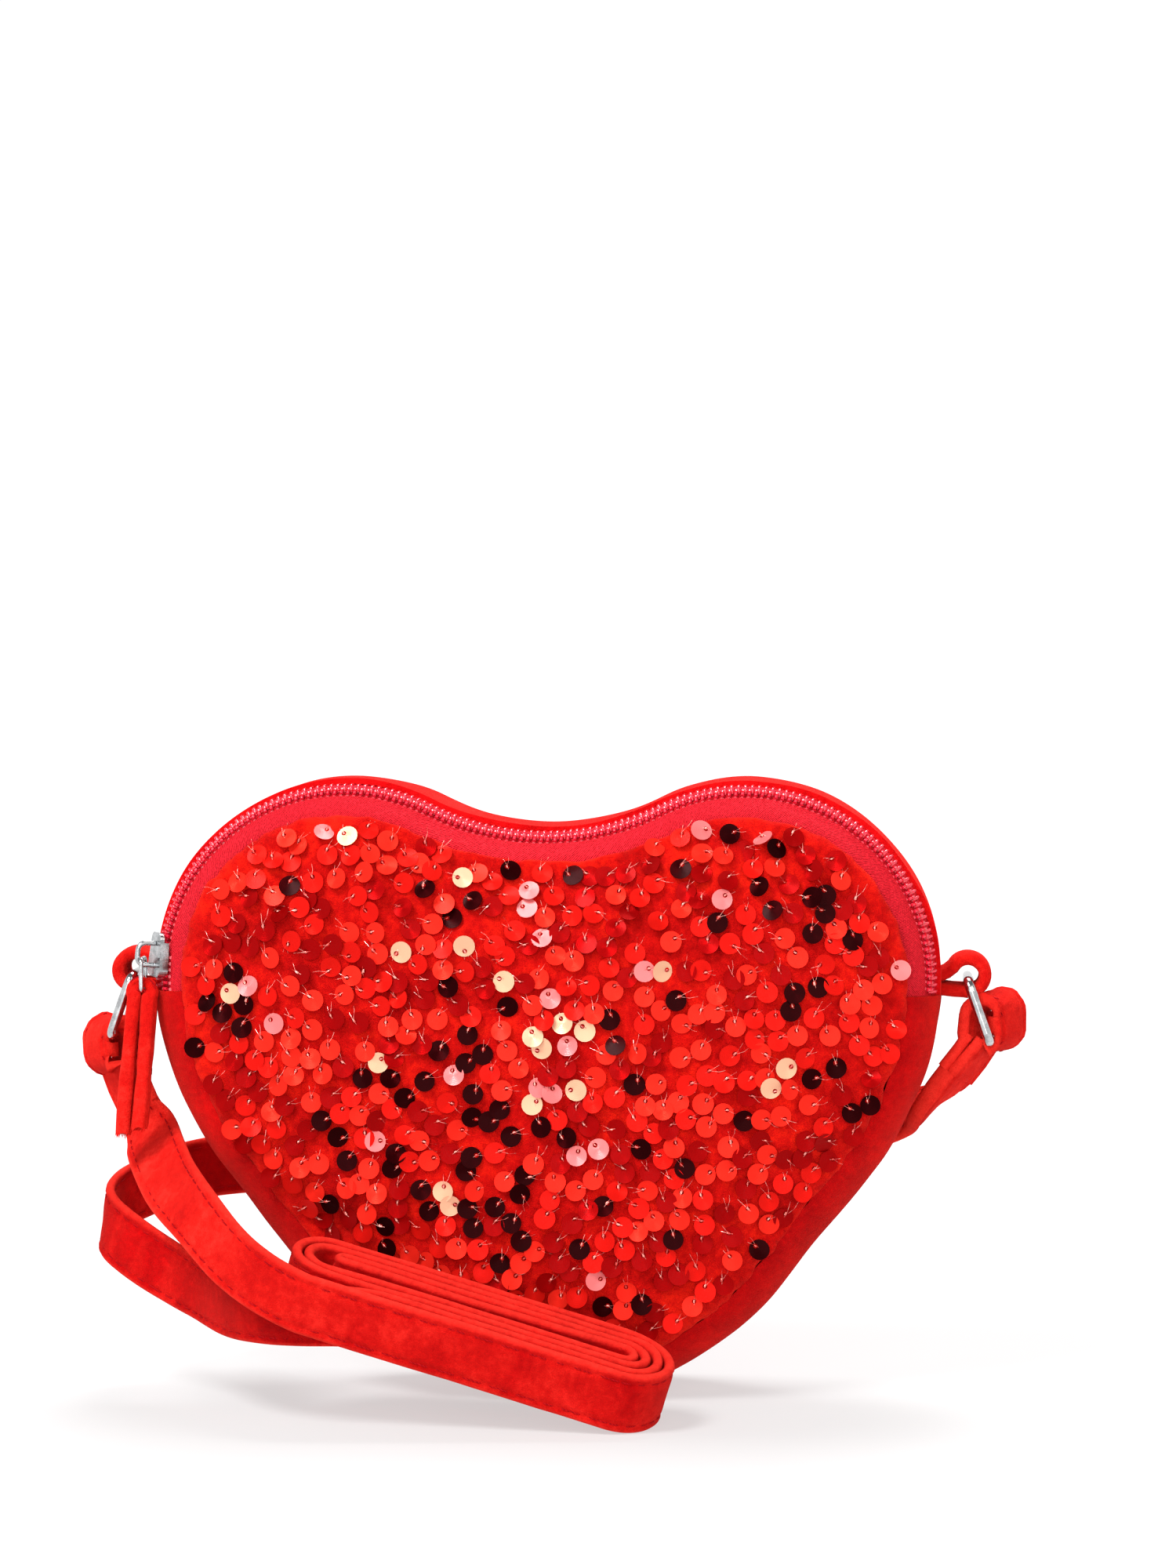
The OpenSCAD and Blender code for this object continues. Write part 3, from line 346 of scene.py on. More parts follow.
# Plated die casting or wire: bright, with duller worn patches and fine scuffs
def nickelMaterial(name, low, high, rough):
    material, tree, surface = newMaterial(name, Metallic=1.0)
    place = addNode(tree, "ShaderNodeTexCoord").outputs["Object"]
    wear = addNode(tree, "ShaderNodeTexNoise", {
        "Vector": place, "Scale": perMetre(2.38), "Detail": 5.0, "Roughness": 0.7,
    }).outputs[0]
    scuffNoise = {"Vector": place, "Scale": perMetre(0.667), "Detail": 2.0}
    scuffs = addNode(tree, "ShaderNodeTexNoise", scuffNoise).outputs[0]
    colour = addNode(tree, "ShaderNodeValToRGB", {0: wear}, {0.35: low, 0.62: high}).outputs[0]
    tree.links.new(colour, surface.inputs["Base Color"])
    dull = addNode(tree, "ShaderNodeMapRange", {
        "Value": wear, "From Min": 0.3, "From Max": 0.7, "To Min": rough, "To Max": rough + 0.16,
    })
    tree.links.new(dull.outputs[0], surface.inputs["Roughness"])
    bump = addNode(tree, "ShaderNodeBump", {"Height": scuffs, "Distance": 0.02 * mm, "Strength": 1.0})
    tree.links.new(bump.outputs[0], surface.inputs["Normal"])
    return material


nickel = nickelMaterial("polished nickel plate", "#A3A4A6", "#D2D3D4", 0.1)
dullNickel = nickelMaterial("nickel plate, dulled", "#8E9092", "#C6C8CA", 0.16)
print("materials made")

# The heart's outline, as arcs that meet smoothly
heart = {
    "width": 189, "height": 148, "lobeR": 47, "cleftR": 60, "sideR": 75, "tipR": 72, "press": 0.9,
    "stripFlat": 21, "frontR": 11, "backR": 8, "turn": math.radians(75), "zipDrop": 4, "gap": 0.15,
}
widestZ = heart["height"] - heart["lobeR"]
lobeX = heart["width"] / 2 - heart["lobeR"]
sideX = heart["width"] / 2 - heart["sideR"]
tipZ = heart["tipR"] - heart["press"]
cleftZ = widestZ + math.sqrt((heart["lobeR"] + heart["cleftR"]) ** 2 - lobeX ** 2)
cleftA = math.asin(lobeX / (heart["lobeR"] + heart["cleftR"]))
baseA = math.acos(tipZ / heart["tipR"])
sideRise = widestZ - tipZ
sideReach = math.hypot(sideX, sideRise)
flankA = math.atan2(sideRise, sideX) - math.acos((heart["tipR"] - heart["sideR"]) / sideReach)
zipEndA = math.asin(heart["zipDrop"] / heart["sideR"])
frontInset = heart["frontR"] * (1 - math.cos(heart["turn"]))
backInset = heart["backR"] * (1 - math.cos(heart["turn"]))
frontY = -heart["stripFlat"] / 2 - heart["frontR"] * math.sin(heart["turn"])
backY = heart["stripFlat"] / 2 + heart["backR"] * math.sin(heart["turn"])
panelMid = widestZ - heart["lobeR"] / 5
stationStep = 1.5


def arcStations(x, z, r, start, stop, way=1, skip=0):  # points of the outline with their outward normals
    count = max(2, math.ceil(abs(stop - start) * r / stationStep))
    angles = [start + (stop - start) * i / count for i in range(skip, count + 1)]
    return [(x + r * math.cos(a), z + r * math.sin(a), way * math.cos(a), way * math.sin(a)) for a in angles]


def lineStations(a, b):
    count = max(2, math.ceil(math.hypot(b[0] - a[0], b[1] - a[1]) / stationStep))
    return [tuple(a[k] + (b[k] - a[k]) * i / count for k in range(4)) for i in range(1, count)]


def mirrored(stations):
    return [(-x, z, -nx, nz) for x, z, nx, nz in reversed(stations)]


tipRun = [(0, 0, 0, -1)] + arcStations(0, tipZ, heart["tipR"], baseA - math.pi / 2, flankA)
sideRun = arcStations(sideX, widestZ, heart["sideR"], flankA, -zipEndA)
lowerHalf = tipRun + lineStations(tipRun[-1], sideRun[0]) + sideRun
endRun = arcStations(sideX, widestZ, heart["sideR"], -zipEndA, 0)
lobeRun = arcStations(lobeX, widestZ, heart["lobeR"], 0, math.pi / 2 + cleftA, 1, 1)
cleftRun = arcStations(0, cleftZ, heart["cleftR"], cleftA - math.pi / 2, -math.pi / 2, -1, 1)
upperHalf = endRun + lobeRun + cleftRun
upperStations = upperHalf + mirrored(upperHalf)[1:]  # from the zip's right end to its left end
lowerStations = mirrored(lowerHalf)[:-1] + lowerHalf  # from the zip's left end to its right end
outline = lowerStations + upperStations[1:-1]


def outlinePoints(inset):
    return [(x - inset * nx, z - inset * nz) for x, z, nx, nz in outline]


def fuzz(point, size, seed=0):  # smooth noise from -1 to 1 at that size
    return noise.noise(Vector(point) / size + Vector((seed * 17.3, 0, 0)))


def turnOutwards(piece):
    shape = bmesh.new()
    shape.from_mesh(piece.data)
    bmesh.ops.recalc_face_normals(shape, faces=shape.faces)
    if shape.calc_volume(signed=True) < 0:
        bmesh.ops.reverse_faces(shape, faces=shape.faces)
    shape.to_mesh(piece.data)
    shape.free()


def sweep(name, rings, material, weave=None):  # a skin over the rings, closed at both ends
    count, rows = len(rings[0]), len(rings)
    points = [p for ring in rings for p in ring]
    faces = []
    for a in range(0, (rows - 1) * count, count):
        for j in range(count):
            k = (j + 1) % count
            faces.append((a + j, a + k, a + count + k, a + count + j))
    faces += [tuple(range(count - 1, -1, -1)), tuple(range((rows - 1) * count, rows * count))]
    piece = newPiece(name, points, faces, material, {"weave": weave} if weave is not None else None)
    turnOutwards(piece)
    piece.data.set_sharp_from_angle(angle=math.radians(70))
    return piece


def frontEdge(depth, a):
    r = heart["frontR"] - depth
    return (heart["frontR"] - r * math.cos(a), -heart["stripFlat"] / 2 - r * math.sin(a))


def backEdge(depth, a):
    r = heart["backR"] - depth
    return (heart["backR"] - r * math.cos(a), heart["stripFlat"] / 2 + r * math.sin(a))


def edgeTurn(radius, inset, depth):
    return math.acos((radius - inset) / (radius - depth))


def spread(a, b, count):
    return [a + (b - a) * i / count for i in range(count + 1)]


def stripSide(depth, start=None, step=1.2):  # one face of the strip, from front to back
    if start is None:
        start = edgeTurn(heart["frontR"], frontInset, depth)
    stop = edgeTurn(heart["backR"], backInset, depth)
    half = heart["stripFlat"] / 2
    front = []
    if start >= 0:
        turns = spread(start, 0, max(2, round(start * heart["frontR"] / step)))
        front = [frontEdge(depth, a) for a in turns]
    flat = [(depth, y) for y in spread(-half, half, round(heart["stripFlat"] / step))]
    back = [backEdge(depth, a) for a in spread(0, stop, max(2, round(stop * heart["backR"] / step)))]
    return front + flat[1:-1] + back


def sectionAlong(stations, section, wave=None):
    rings, along, weave = [], 0, []
    across = [0]
    for a, b in zip(section, section[1:]):
        across.append(across[-1] + math.dist(a, b))
    for i, (x, z, nx, nz) in enumerate(stations):
        if i:
            along += math.dist((x, z), stations[i - 1][:2])
        ring = []
        for j, (inset, y) in enumerate(section):
            push = wave(along, y) if wave else 0
            ring.append((x - (inset - push) * nx, y, max(z - (inset - push) * nz, 0.0)))
            weave.append((along, across[j], 0))
        rings.append(ring)
    return rings, weave


cloth = {
    "velvet": 1.4, "padding": 3.0, "lining": 0.6, "frontCrown": 6.0, "backCrown": 5.0, "crownPower": 5.3,
}
gusset = {
    "dentSize": 17, "sink": 0.25, "seamArea": 90, "pucker": 0.12, "puckerTurn": 1.1, "lower": 0.7, "top": 0.5,
}
zipper = {
    "tape": 0.6, "shownW": 4.4, "openW": 8.8, "pitch": 1.6, "tilt": math.radians(30),
    "lap": 4, "underVelvet": 5,
    "bed": 0.25, "bedTape": 0.3, "underPanel": 3.0, "apart": 0.01, "sag": 0.1, "sagSize": 6,
}
tilt = zipper["tilt"]
tapeR = heart["frontR"] - cloth["velvet"]


def stripWave(seed, strength):  # soft dents in the strip, and small puckers at its seams
    def wave(along, y):
        share = min(1, max(0, (y - frontY) * (backY - y) / gusset["seamArea"]))
        dent = strength * share * (fuzz((along, y, 0), gusset["dentSize"], seed) - gusset["sink"])
        return dent - gusset["pucker"] * (1 - share) * (1 + math.sin(along * gusset["puckerTurn"]))
    return wave


def strip(name, node, stations, start, depth, thick, material, slot, wave):
    section = stripSide(depth, start) + stripSide(depth + thick, start)[::-1]
    rings, weave = sectionAlong(stations, section, wave)
    finishPiece(sweep(name, rings, material, weave), "purse", slot, node)


lowerWave, topWave = stripWave(1, gusset["lower"]), stripWave(2, gusset["top"])
velvetStart = tilt - math.asin(zipper["openW"] / 2 / tapeR)
strip(
    "lowerGusset", "lower_gusset", lowerStations, None, 0, cloth["velvet"],
    shadedLowerVelvet, "gusset_velvet", lowerWave,
)
strip(
    "lowerGussetLining", "lower_gusset_lining", lowerStations, None, cloth["velvet"], cloth["lining"],
    liningTwill, "lining_cloth", lowerWave,
)
strip(
    "topGusset", "top_gusset", upperStations, velvetStart, 0, cloth["velvet"],
    gussetVelvet, "gusset_velvet", topWave,
)
print("gussets made")

# The zip tape's two halves and the lining behind them
tapeUnder = cloth["velvet"] + zipper["tape"]
coilEdge = math.asin(zipper["shownW"] / 2 / tapeR)
tapeEndY = -heart["stripFlat"] / 2 + zipper["underVelvet"]
seamTurn = edgeTurn(heart["frontR"], frontInset, cloth["velvet"])
coilBed = cloth["velvet"] + zipper["bed"]  # the tapes meet below the coil
bedUnder = coilBed + zipper["bedTape"]


def frontArc(depth, start, stop, count):
    return [frontEdge(depth, a) for a in spread(start, stop, count)]


def frontFace(depth, bed, share, raised):  # from under the panel to the middle of the coil
    hidden = [(frontInset + zipper["underPanel"], frontY + cloth["velvet"] - raised)]
    shown = frontArc(depth, seamTurn, tilt + coilEdge, 10)
    return hidden + shown + frontArc(bed, tilt + coilEdge * share, tilt + zipper["apart"], 3)


def rearFace(depth, bed, share):  # from the middle of the coil to under the top gusset
    sunk = frontArc(bed, tilt - zipper["apart"], tilt - coilEdge * share, 3)
    return sunk + frontArc(depth, tilt - coilEdge, 0, 8) + [(depth, tapeEndY)]


def backArc(depth):
    return [backEdge(depth, a) for a in spread(0, edgeTurn(heart["backR"], backInset, depth), 8)]


def tapeWave(along, y):
    return zipper["sag"] * fuzz((along, y, 5), zipper["sagSize"])


frontFaces = frontFace(cloth["velvet"], coilBed, 0.8, 0.55), frontFace(tapeUnder, bedUnder, 0.9, 0.25)
rearFaces = rearFace(cloth["velvet"] + 0.02, coilBed, 0.8), rearFace(tapeUnder, bedUnder, 0.9)
liningFaces = [[(d, tapeEndY - zipper["lap"])] + backArc(d) for d in (tapeUnder, tapeUnder + cloth["lining"])]
for name, node, faces, material, slot, wave in (
    ("zipTapeFront", "zip_tape_front", frontFaces, tapeTwill, "zip_tape", tapeWave),
    ("zipTapeRear", "zip_tape_rear", rearFaces, tapeTwill, "zip_tape", None),
    ("topGussetLining", "top_gusset_lining", liningFaces, liningTwill, "lining_cloth", None),
):
    rings, weave = sectionAlong(upperStations, faces[0] + faces[1][::-1], wave)
    finishPiece(sweep(name, rings, material, weave), "purse", slot, node)
print("zip tapes and lining made")


# The two padded hearts. A point's share is its distance from the middle, as a part of the way out.
def shareFinder(inset):
    rim = []
    for x, z in outlinePoints(inset):
        rim.append((math.atan2(z - panelMid, x) % math.tau, math.hypot(x, z - panelMid)))
    rim.sort()
    angles = np.array([rim[-1][0] - math.tau] + [a for a, r in rim] + [rim[0][0] + math.tau])
    radii = np.array([rim[-1][1]] + [r for a, r in rim] + [rim[0][1]])

    def share(x, z):
        return math.hypot(x, z - panelMid) / np.interp(math.atan2(z - panelMid, x) % math.tau, angles, radii)
    return share


def crownAt(share):
    return max(0.0, 1 - min(share, 1) ** cloth["crownPower"])


def heartSheet(inset, cell):  # flat points of the heart on an even triangle grid, with its rim
    rim = [p for i, p in enumerate(outlinePoints(inset)) if cell < 4 or i % 2 == 0]
    share = shareFinder(inset)
    inside = []
    rowHeight = cell * 0.866
    across = int((heart["width"] + 1) / 2 / cell)
    for i in range(int(heart["height"] / rowHeight) + 1):
        for k in range(-across, across + 1):
            x, z = (k + 0.5 * (i % 2)) * cell, i * rowHeight
            if share(x, z) < 1 - 0.55 * cell / math.hypot(x, z - panelMid + 1e-6):
                inside.append((x, z))
    count = len(rim)
    flat = [Vector(p) for p in rim + inside]
    edges = [(i, (i + 1) % count) for i in range(count)]
    found = delaunay_2d_cdt(flat, edges, [tuple(range(count))], 1, 1e-6)
    return [tuple(p) for p in found[0]], [tuple(f) for f in found[2]], share


def clothShape(piece, hold, settings):  # the sheet is blown and crumpled at ten times its size, and read back
    scale = 10
    work = piece.copy()
    work.data = piece.data.copy()
    bpy.context.scene.collection.objects.link(work)
    start = np.empty(len(work.data.vertices) * 3)
    work.data.vertices.foreach_get("co", start)
    work.data.vertices.foreach_set("co", start * scale)
    group = work.vertex_groups.new(name="hold")
    for index, weight in enumerate(hold):
        group.add([index], float(weight), "REPLACE")
    modifier = work.modifiers.new("cloth", "CLOTH")
    fabric = modifier.settings
    fabric.quality = settings["quality"]
    fabric.mass = 0.3
    fabric.tension_stiffness = fabric.compression_stiffness = settings["stiff"]
    fabric.shear_stiffness = settings["stiff"] / 2
    fabric.bending_stiffness = settings["bend"]
    fabric.shrink_min = -settings["spare"]
    fabric.use_pressure = True
    fabric.uniform_pressure_force = settings["pressure"]
    fabric.vertex_group_mass = "hold"
    fabric.pin_stiffness = settings["hold"]
    fabric.effector_weights.gravity = 0
    modifier.point_cache.frame_start = 1
    modifier.point_cache.frame_end = settings["frames"]
    for step in range(1, settings["frames"] + 1):
        bpy.context.scene.frame_set(step)
    moved = work.evaluated_get(bpy.context.evaluated_depsgraph_get())
    result = np.empty(len(start))
    moved.data.vertices.foreach_get("co", result)
    bpy.context.scene.frame_set(1)
    bpy.data.objects.remove(work)
    shift = (result / scale - start).reshape(-1, 3)
    size = np.linalg.norm(shift, axis=1, keepdims=True)
    shift *= np.minimum(1, settings["cap"] * mm / np.maximum(size, 1e-9))
    piece.data.vertices.foreach_set("co", start + shift.ravel())
    piece.data.update()
    most, mean = float(size.max()) / mm, float(size.mean()) / mm
    print(piece.name, "cloth moved by up to", round(most, 2), "mm, mean", round(mean, 2))


def paddedSkin(name, node, material, slot, inset, under, thickness, way, settings, seed):  # way is 1 in front
    if way > 0:
        outInset, outY, crown = frontInset, frontY, cloth["frontCrown"]
    else:
        outInset, outY, crown = backInset, backY, cloth["backCrown"]
    points, faces, share = heartSheet(outInset + inset, settings["cell"])
    shares = [share(x, z) for x, z in points]
    spots = [(x, outY + way * (under - crown * crownAt(s)), z) for (x, z), s in zip(points, shares)]
    piece = newPiece(name, spots, faces, material)
    shape = bmesh.new()
    shape.from_mesh(piece.data)
    for face in shape.faces:
        if face.normal.y * way > 0:
            face.normal_flip()
    shape.to_mesh(piece.data)
    shape.free()
    if settings.get("spare"):
        hold = [1.0 if s > 0.985 else settings["rest"] for s in shares]
        clothShape(piece, hold, settings)
    for vertex in piece.data.vertices:  # puckers along the seam, a crushed nap and an uneven lap
        x, y, z = (c / mm for c in vertex.co)
        s = min(1.0, share(x, z))
        reach = math.hypot(x, z - panelMid)
        turn = math.atan2(z - panelMid, x) * reach
        nearSeam = math.exp(-((1 - s) / 0.05) ** 2)
        pucker = settings["pucker"] * nearSeam * (fuzz((turn, s * 20, 0), 5, seed) + 0.2)
        dent = settings["dent"] * (1 - s ** 8) * fuzz((x, y, z), 11, seed)
        lift = settings["lap"] * max(0, (s - 0.95) / 0.05) * 0.3
        vertex.co.y -= way * (pucker + dent + lift) * mm
        uneven = 0.7 + 0.9 * fuzz((turn, 3, 0), 4.5, seed + 1) + 0.7 * fuzz((turn, 8, 0), 1.8, seed)
        out = settings["lap"] * max(0, (s - 0.93) / 0.07) * uneven
        vertex.co.x += out * mm * x / reach
        vertex.co.z += out * mm * (z - panelMid) / reach
    solid = piece.modifiers.new("thickness", "SOLIDIFY")
    solid.thickness = thickness * mm
    solid.offset = -1
    if settings.get("smooth"):
        smooth = piece.modifiers.new("smooth", "SUBSURF")
        smooth.levels = smooth.render_levels = settings["smooth"]
    applyAll(piece)
    return finishPiece(piece, "purse", slot, node)


frontSkin = {
    "cell": 2.4, "quality": 6, "stiff": 12.0, "bend": 0.4, "spare": 0.035, "pressure": 0.4, "hold": 1.0,
    "rest": 0.05, "frames": 20, "cap": 1.2, "pucker": 0.7, "lap": 0.9, "dent": 0.4, "smooth": 1,
}
backSkin = dict(frontSkin, cell=3.0, spare=0.03, dent=0.5, pucker=0.5, lap=0.5)
inner = {
    "cell": 5.0, "pucker": 0.0, "dent": 0.0, "lap": 0.0,
    "paddingIn": 2.4, "liningIn": 0.6, "play": 0.4, "thinner": 0.6,
}
paddingUnder, liningUnder = cloth["velvet"] + inner["play"], cloth["velvet"] + cloth["padding"]
paddingT = cloth["padding"] - inner["thinner"]
for side, way, velvetFinish, slot, settings, seed in (
    ("front", 1, panelVelvet, "panel_velvet", frontSkin, 3),
    ("back", -1, gussetVelvet, "gusset_velvet", backSkin, 4),
):
    paddedSkin(
        side + "Panel", side + "_panel", velvetFinish, slot, heart["gap"], 0, cloth["velvet"],
        way, settings, seed,
    )
for side, way, seed in (("front", 1, 5), ("back", -1, 6)):
    paddedSkin(
        side + "Padding", side + "_padding", wadding, "wadding", inner["paddingIn"], paddingUnder, paddingT,
        way, inner, seed,
    )
for side, way, seed in (("front", 1, 7), ("back", -1, 8)):
    paddedSkin(
        side + "Lining", side + "_lining", liningTwill, "lining_cloth", inner["liningIn"], liningUnder,
        cloth["lining"], way, inner, seed,
    )
print("padded hearts made")


# One tree places a small piece on many points. Each point says where its X and Z go.
def placingTree():
    tree = bpy.data.node_groups.new("place small pieces", "GeometryNodeTree")
    kinds = {
        "Points": "Geometry", "Small piece": "Object", "Tilt": "Float", "Turn": "Float",
        "Size spread": "Float", "Seed": "Int", "Finish": "Material",
    }
    for name, kind in kinds.items():
        tree.interface.new_socket(name=name, in_out="INPUT", socket_type="NodeSocket" + kind)
    tree.interface.new_socket(name="Geometry", in_out="OUTPUT", socket_type="NodeSocketGeometry")
    given = addNode(tree, "NodeGroupInput").outputs
    along, out = (
        addNode(tree, "GeometryNodeInputNamedAttribute", {"Name": name}, data_type="FLOAT_VECTOR").outputs[0]
        for name in ("along", "out")
    )
    axes = {"Primary Axis": out, "Secondary Axis": along}
    facing = addNode(
        tree, "FunctionNodeAxesToRotation", axes, primary_axis="Z", secondary_axis="X"
    ).outputs[0]
    turns = {}
    for number, name in enumerate(("Tilt", "Tilt", "Turn")):
        low = addNode(tree, "ShaderNodeMath", {0: given[name], 1: -1.0}, operation="MULTIPLY").outputs[0]
        seeds = {0: given["Seed"], 1: number}
        seed = addNode(tree, "FunctionNodeIntegerMath", seeds, operation="ADD").outputs[0]
        limits = {"Min": low, "Max": given[name], "Seed": seed}
        draw = addNode(tree, "FunctionNodeRandomValue", limits, data_type="FLOAT")
        turns[number] = socketNamed(draw.outputs, "Value")
    euler = addNode(tree, "ShaderNodeCombineXYZ", turns).outputs[0]
    swing = addNode(tree, "FunctionNodeEulerToRotation", {"Euler": euler}).outputs[0]
    turned = {"Rotation": facing, "Rotate By": swing}
    facing = addNode(tree, "FunctionNodeRotateRotation", turned, rotation_space="LOCAL").outputs[0]
    small, large = (
        addNode(tree, "ShaderNodeMath", {0: 1.0, 1: given["Size spread"]}, operation=operation).outputs[0]
        for operation in ("SUBTRACT", "ADD")
    )
    limits = {"Min": small, "Max": large, "Seed": given["Seed"]}
    size = socketNamed(addNode(tree, "FunctionNodeRandomValue", limits, data_type="FLOAT").outputs, "Value")
    piece = addNode(tree, "GeometryNodeObjectInfo", {"Object": given["Small piece"], "As Instance": True})
    placed = addNode(tree, "GeometryNodeInstanceOnPoints", {
        "Points": given["Points"], "Instance": piece.outputs["Geometry"], "Rotation": facing, "Scale": size,
    })
    real = addNode(tree, "GeometryNodeRealizeInstances", {"Geometry": placed.outputs[0]})
    finished = {"Geometry": real.outputs[0], "Material": given["Finish"]}
    finish = addNode(tree, "GeometryNodeSetMaterial", finished)
    addNode(tree, "NodeGroupOutput", {"Geometry": finish.outputs[0]})
    return tree


placing = placingTree()


def placeMany(name, places, small, material, tilt=0.0, turn=0.0, sizeSpread=0.0, seed=1):
    # places holds (point, along, out) or (point, along, out, tone)
    values = {"along": np.array([p[1] for p in places]), "out": np.array([p[2] for p in places])}
    if len(places[0]) > 3:
        values["tone"] = np.array([p[3] for p in places])
    piece = newPiece(name, [p[0] for p in places], [], material, values)
    modifier = piece.modifiers.new("placing", "NODES")
    modifier.node_group = placing
    given = {
        "Small piece": small, "Tilt": tilt, "Turn": turn, "Size spread": sizeSpread, "Seed": seed,
        "Finish": material,
    }
    for item in placing.interface.items_tree:
        if item.in_out == "INPUT" and item.name in given:
            modifier[item.identifier] = given[item.name]
    applyAll(piece)
    small.hide_render = small.hide_viewport = True
    return piece


def dropSmall(*pieces):
    for piece in pieces:
        bpy.data.objects.remove(piece)


# Sequins: cupped discs sewn on by a hole near the rim, with clear threads
sequins = {
    "radius": 2.5, "thick": 0.14, "cup": 0.24, "hole": 0.56, "holeAt": 1.25, "sides": 18, "sharp": 40,
    "spacing": 4.05, "tries": 16000, "most": 570, "reach": 0.972, "lift": 0.5, "seed": 21,
    "bareSize": 9, "bareFrom": -0.75, "bareTo": -0.1,  # small bare places
    "hangSize": 45, "hangTurn": 2.6, "hangSpread": 0.55,
    "riseLeast": 3, "riseMost": 46, "riseSpread": 13, "roll": 0.1,  # rises in degrees
    "baseDark": 0.05, "basePale": 0.012, "basePink": 0.015, "pinkShare": 1.6,
    # areas whose discs get a painted reflection of the dark or the bright side of a room: place, size and
    # share
    "dark": [
        ((58, 106), 26, 0.2), ((-8, 88), 18, 0.26), ((-14, 52), 22, 0.26), ((50, 132), 22, 0.15),
        ((-82, 100), 10, 0.36), ((72, 72), 10, 0.16),
    ],
    "pale": [
        ((0, 94), 14, 0.13), ((8, 76), 18, 0.13), ((-8, 60), 14, 0.1), ((-55, 132), 18, 0.07),
        ((-22, 116), 12, 0.1),
    ],
    # painted reflections, each from its tone up: three reds from lit to shaded, the dark, pink and cream of a
    # room
    "tones": {
        0.0: "#EE281C", 0.2: "#D41610", 0.36: "#940406", 0.5: "#1C0002", 0.7: "#E87878", 0.85: "#E8B290",
    },
    "darkTone": 0.6, "pinkTone": 0.78, "paleTone": 0.9, "redTones": (0.1, 0.1, 0.3, 0.3, 0.42, 0.42),
}
# Metallised film, moulded to a cup: each disc's colour is a painted reflection of one part of the room, with
# faint rings from its mould
film, tree, surface = newMaterial(
    "moulded sequin film, red", Metallic=0.45, Roughness=0.34, Specular_IOR_Level=0.12,
    Specular_Tint=hexColour("#FF3020"), Coat_Weight=0.03, Coat_Roughness=0.2,
)
tone = addNode(tree, "ShaderNodeAttribute", attribute_name="tone").outputs["Fac"]
bands = addNode(tree, "ShaderNodeValToRGB", {0: tone}, sequins["tones"])
bands.color_ramp.interpolation = "CONSTANT"
disc = addNode(tree, "ShaderNodeAttribute", attribute_name="disc").outputs["Vector"]
rings = addNode(tree, "ShaderNodeTexWave", {
    "Vector": disc, "Scale": 1.1, "Distortion": 0.4,
}, wave_type="RINGS", rings_direction="SPHERICAL").outputs[1]
lines = addNode(tree, "ShaderNodeValToRGB", {0: rings}, {0.0: "#F3EEEC", 1.0: "#FFFFFF"}).outputs[0]
mixed = addNode(
    tree, "ShaderNodeMix", {0: 1.0, 6: bands.outputs[0], 7: lines}, data_type="RGBA", blend_type="MULTIPLY"
)
tree.links.new(mixed.outputs[2], surface.inputs["Base Color"])
bump = addNode(tree, "ShaderNodeBump", {"Height": rings, "Distance": 0.02 * mm, "Strength": 1.0})
tree.links.new(bump.outputs[0], surface.inputs["Normal"])

# Clear nylon thread: it takes the red behind it, with painted pink glints
clearThread, tree, surface = newMaterial("clear nylon thread", Roughness=0.18, Coat_Weight=0.6)
place = addNode(tree, "ShaderNodeTexCoord").outputs["Object"]
paintedGlintNoise = {"Vector": place, "Scale": perMetre(1.11), "Detail": 1.0}
paintedGlints = addNode(tree, "ShaderNodeTexNoise", paintedGlintNoise).outputs[0]
colour = addNode(tree, "ShaderNodeValToRGB", {0: paintedGlints}, {0.42: "#C8281E", 0.62: "#FFA496"}).outputs[0]
tree.links.new(colour, surface.inputs["Base Color"])


def smallSequin():
    sides = sequins["sides"]
    points, discs, faces = [], [], []
    for level in (0, 1):  # the outer face, then the under face
        for radius, x in ((sequins["radius"], 0), (sequins["hole"], sequins["holeAt"])):
            for i in range(sides):
                a = math.tau * i / sides
                px, py = x + radius * math.cos(a), radius * math.sin(a)
                cup = sequins["cup"] * (px * px + py * py) / sequins["radius"] ** 2
                points.append((px - sequins["holeAt"], py, cup - level * sequins["thick"]))
                discs.append((px, py, 0))
    for i in range(sides):
        j = (i + 1) % sides
        faces.append((i, j, sides + j, sides + i))
        faces.append((3 * sides + i, 3 * sides + j, 2 * sides + j, 2 * sides + i))
        faces.append((i, 2 * sides + i, 2 * sides + j, j))
        faces.append((sides + i, sides + j, 3 * sides + j, 3 * sides + i))
    piece = newPiece("smallSequin", points, faces, film, {"disc": np.array(discs)})
    turnOutwards(piece)
    piece.data.set_sharp_from_angle(angle=math.radians(sequins["sharp"]))
    return piece


def smallTube(name, path, radius, sides, material):
    rings = []
    for i, p in enumerate(path):
        heading = (Vector(path[min(i + 1, len(path) - 1)]) - Vector(path[max(i - 1, 0)])).normalized()
        side = heading.cross(Vector((0.1, 0.2, 1))).normalized()
        up = side.cross(heading)
        r = radius(i / (len(path) - 1)) if callable(radius) else radius
        ways = [math.cos(a) * side + math.sin(a) * up for a in spread(0, math.tau, sides)[:-1]]
        rings.append([tuple(Vector(p) + r * way) for way in ways])
    return sweep(name, rings, material)


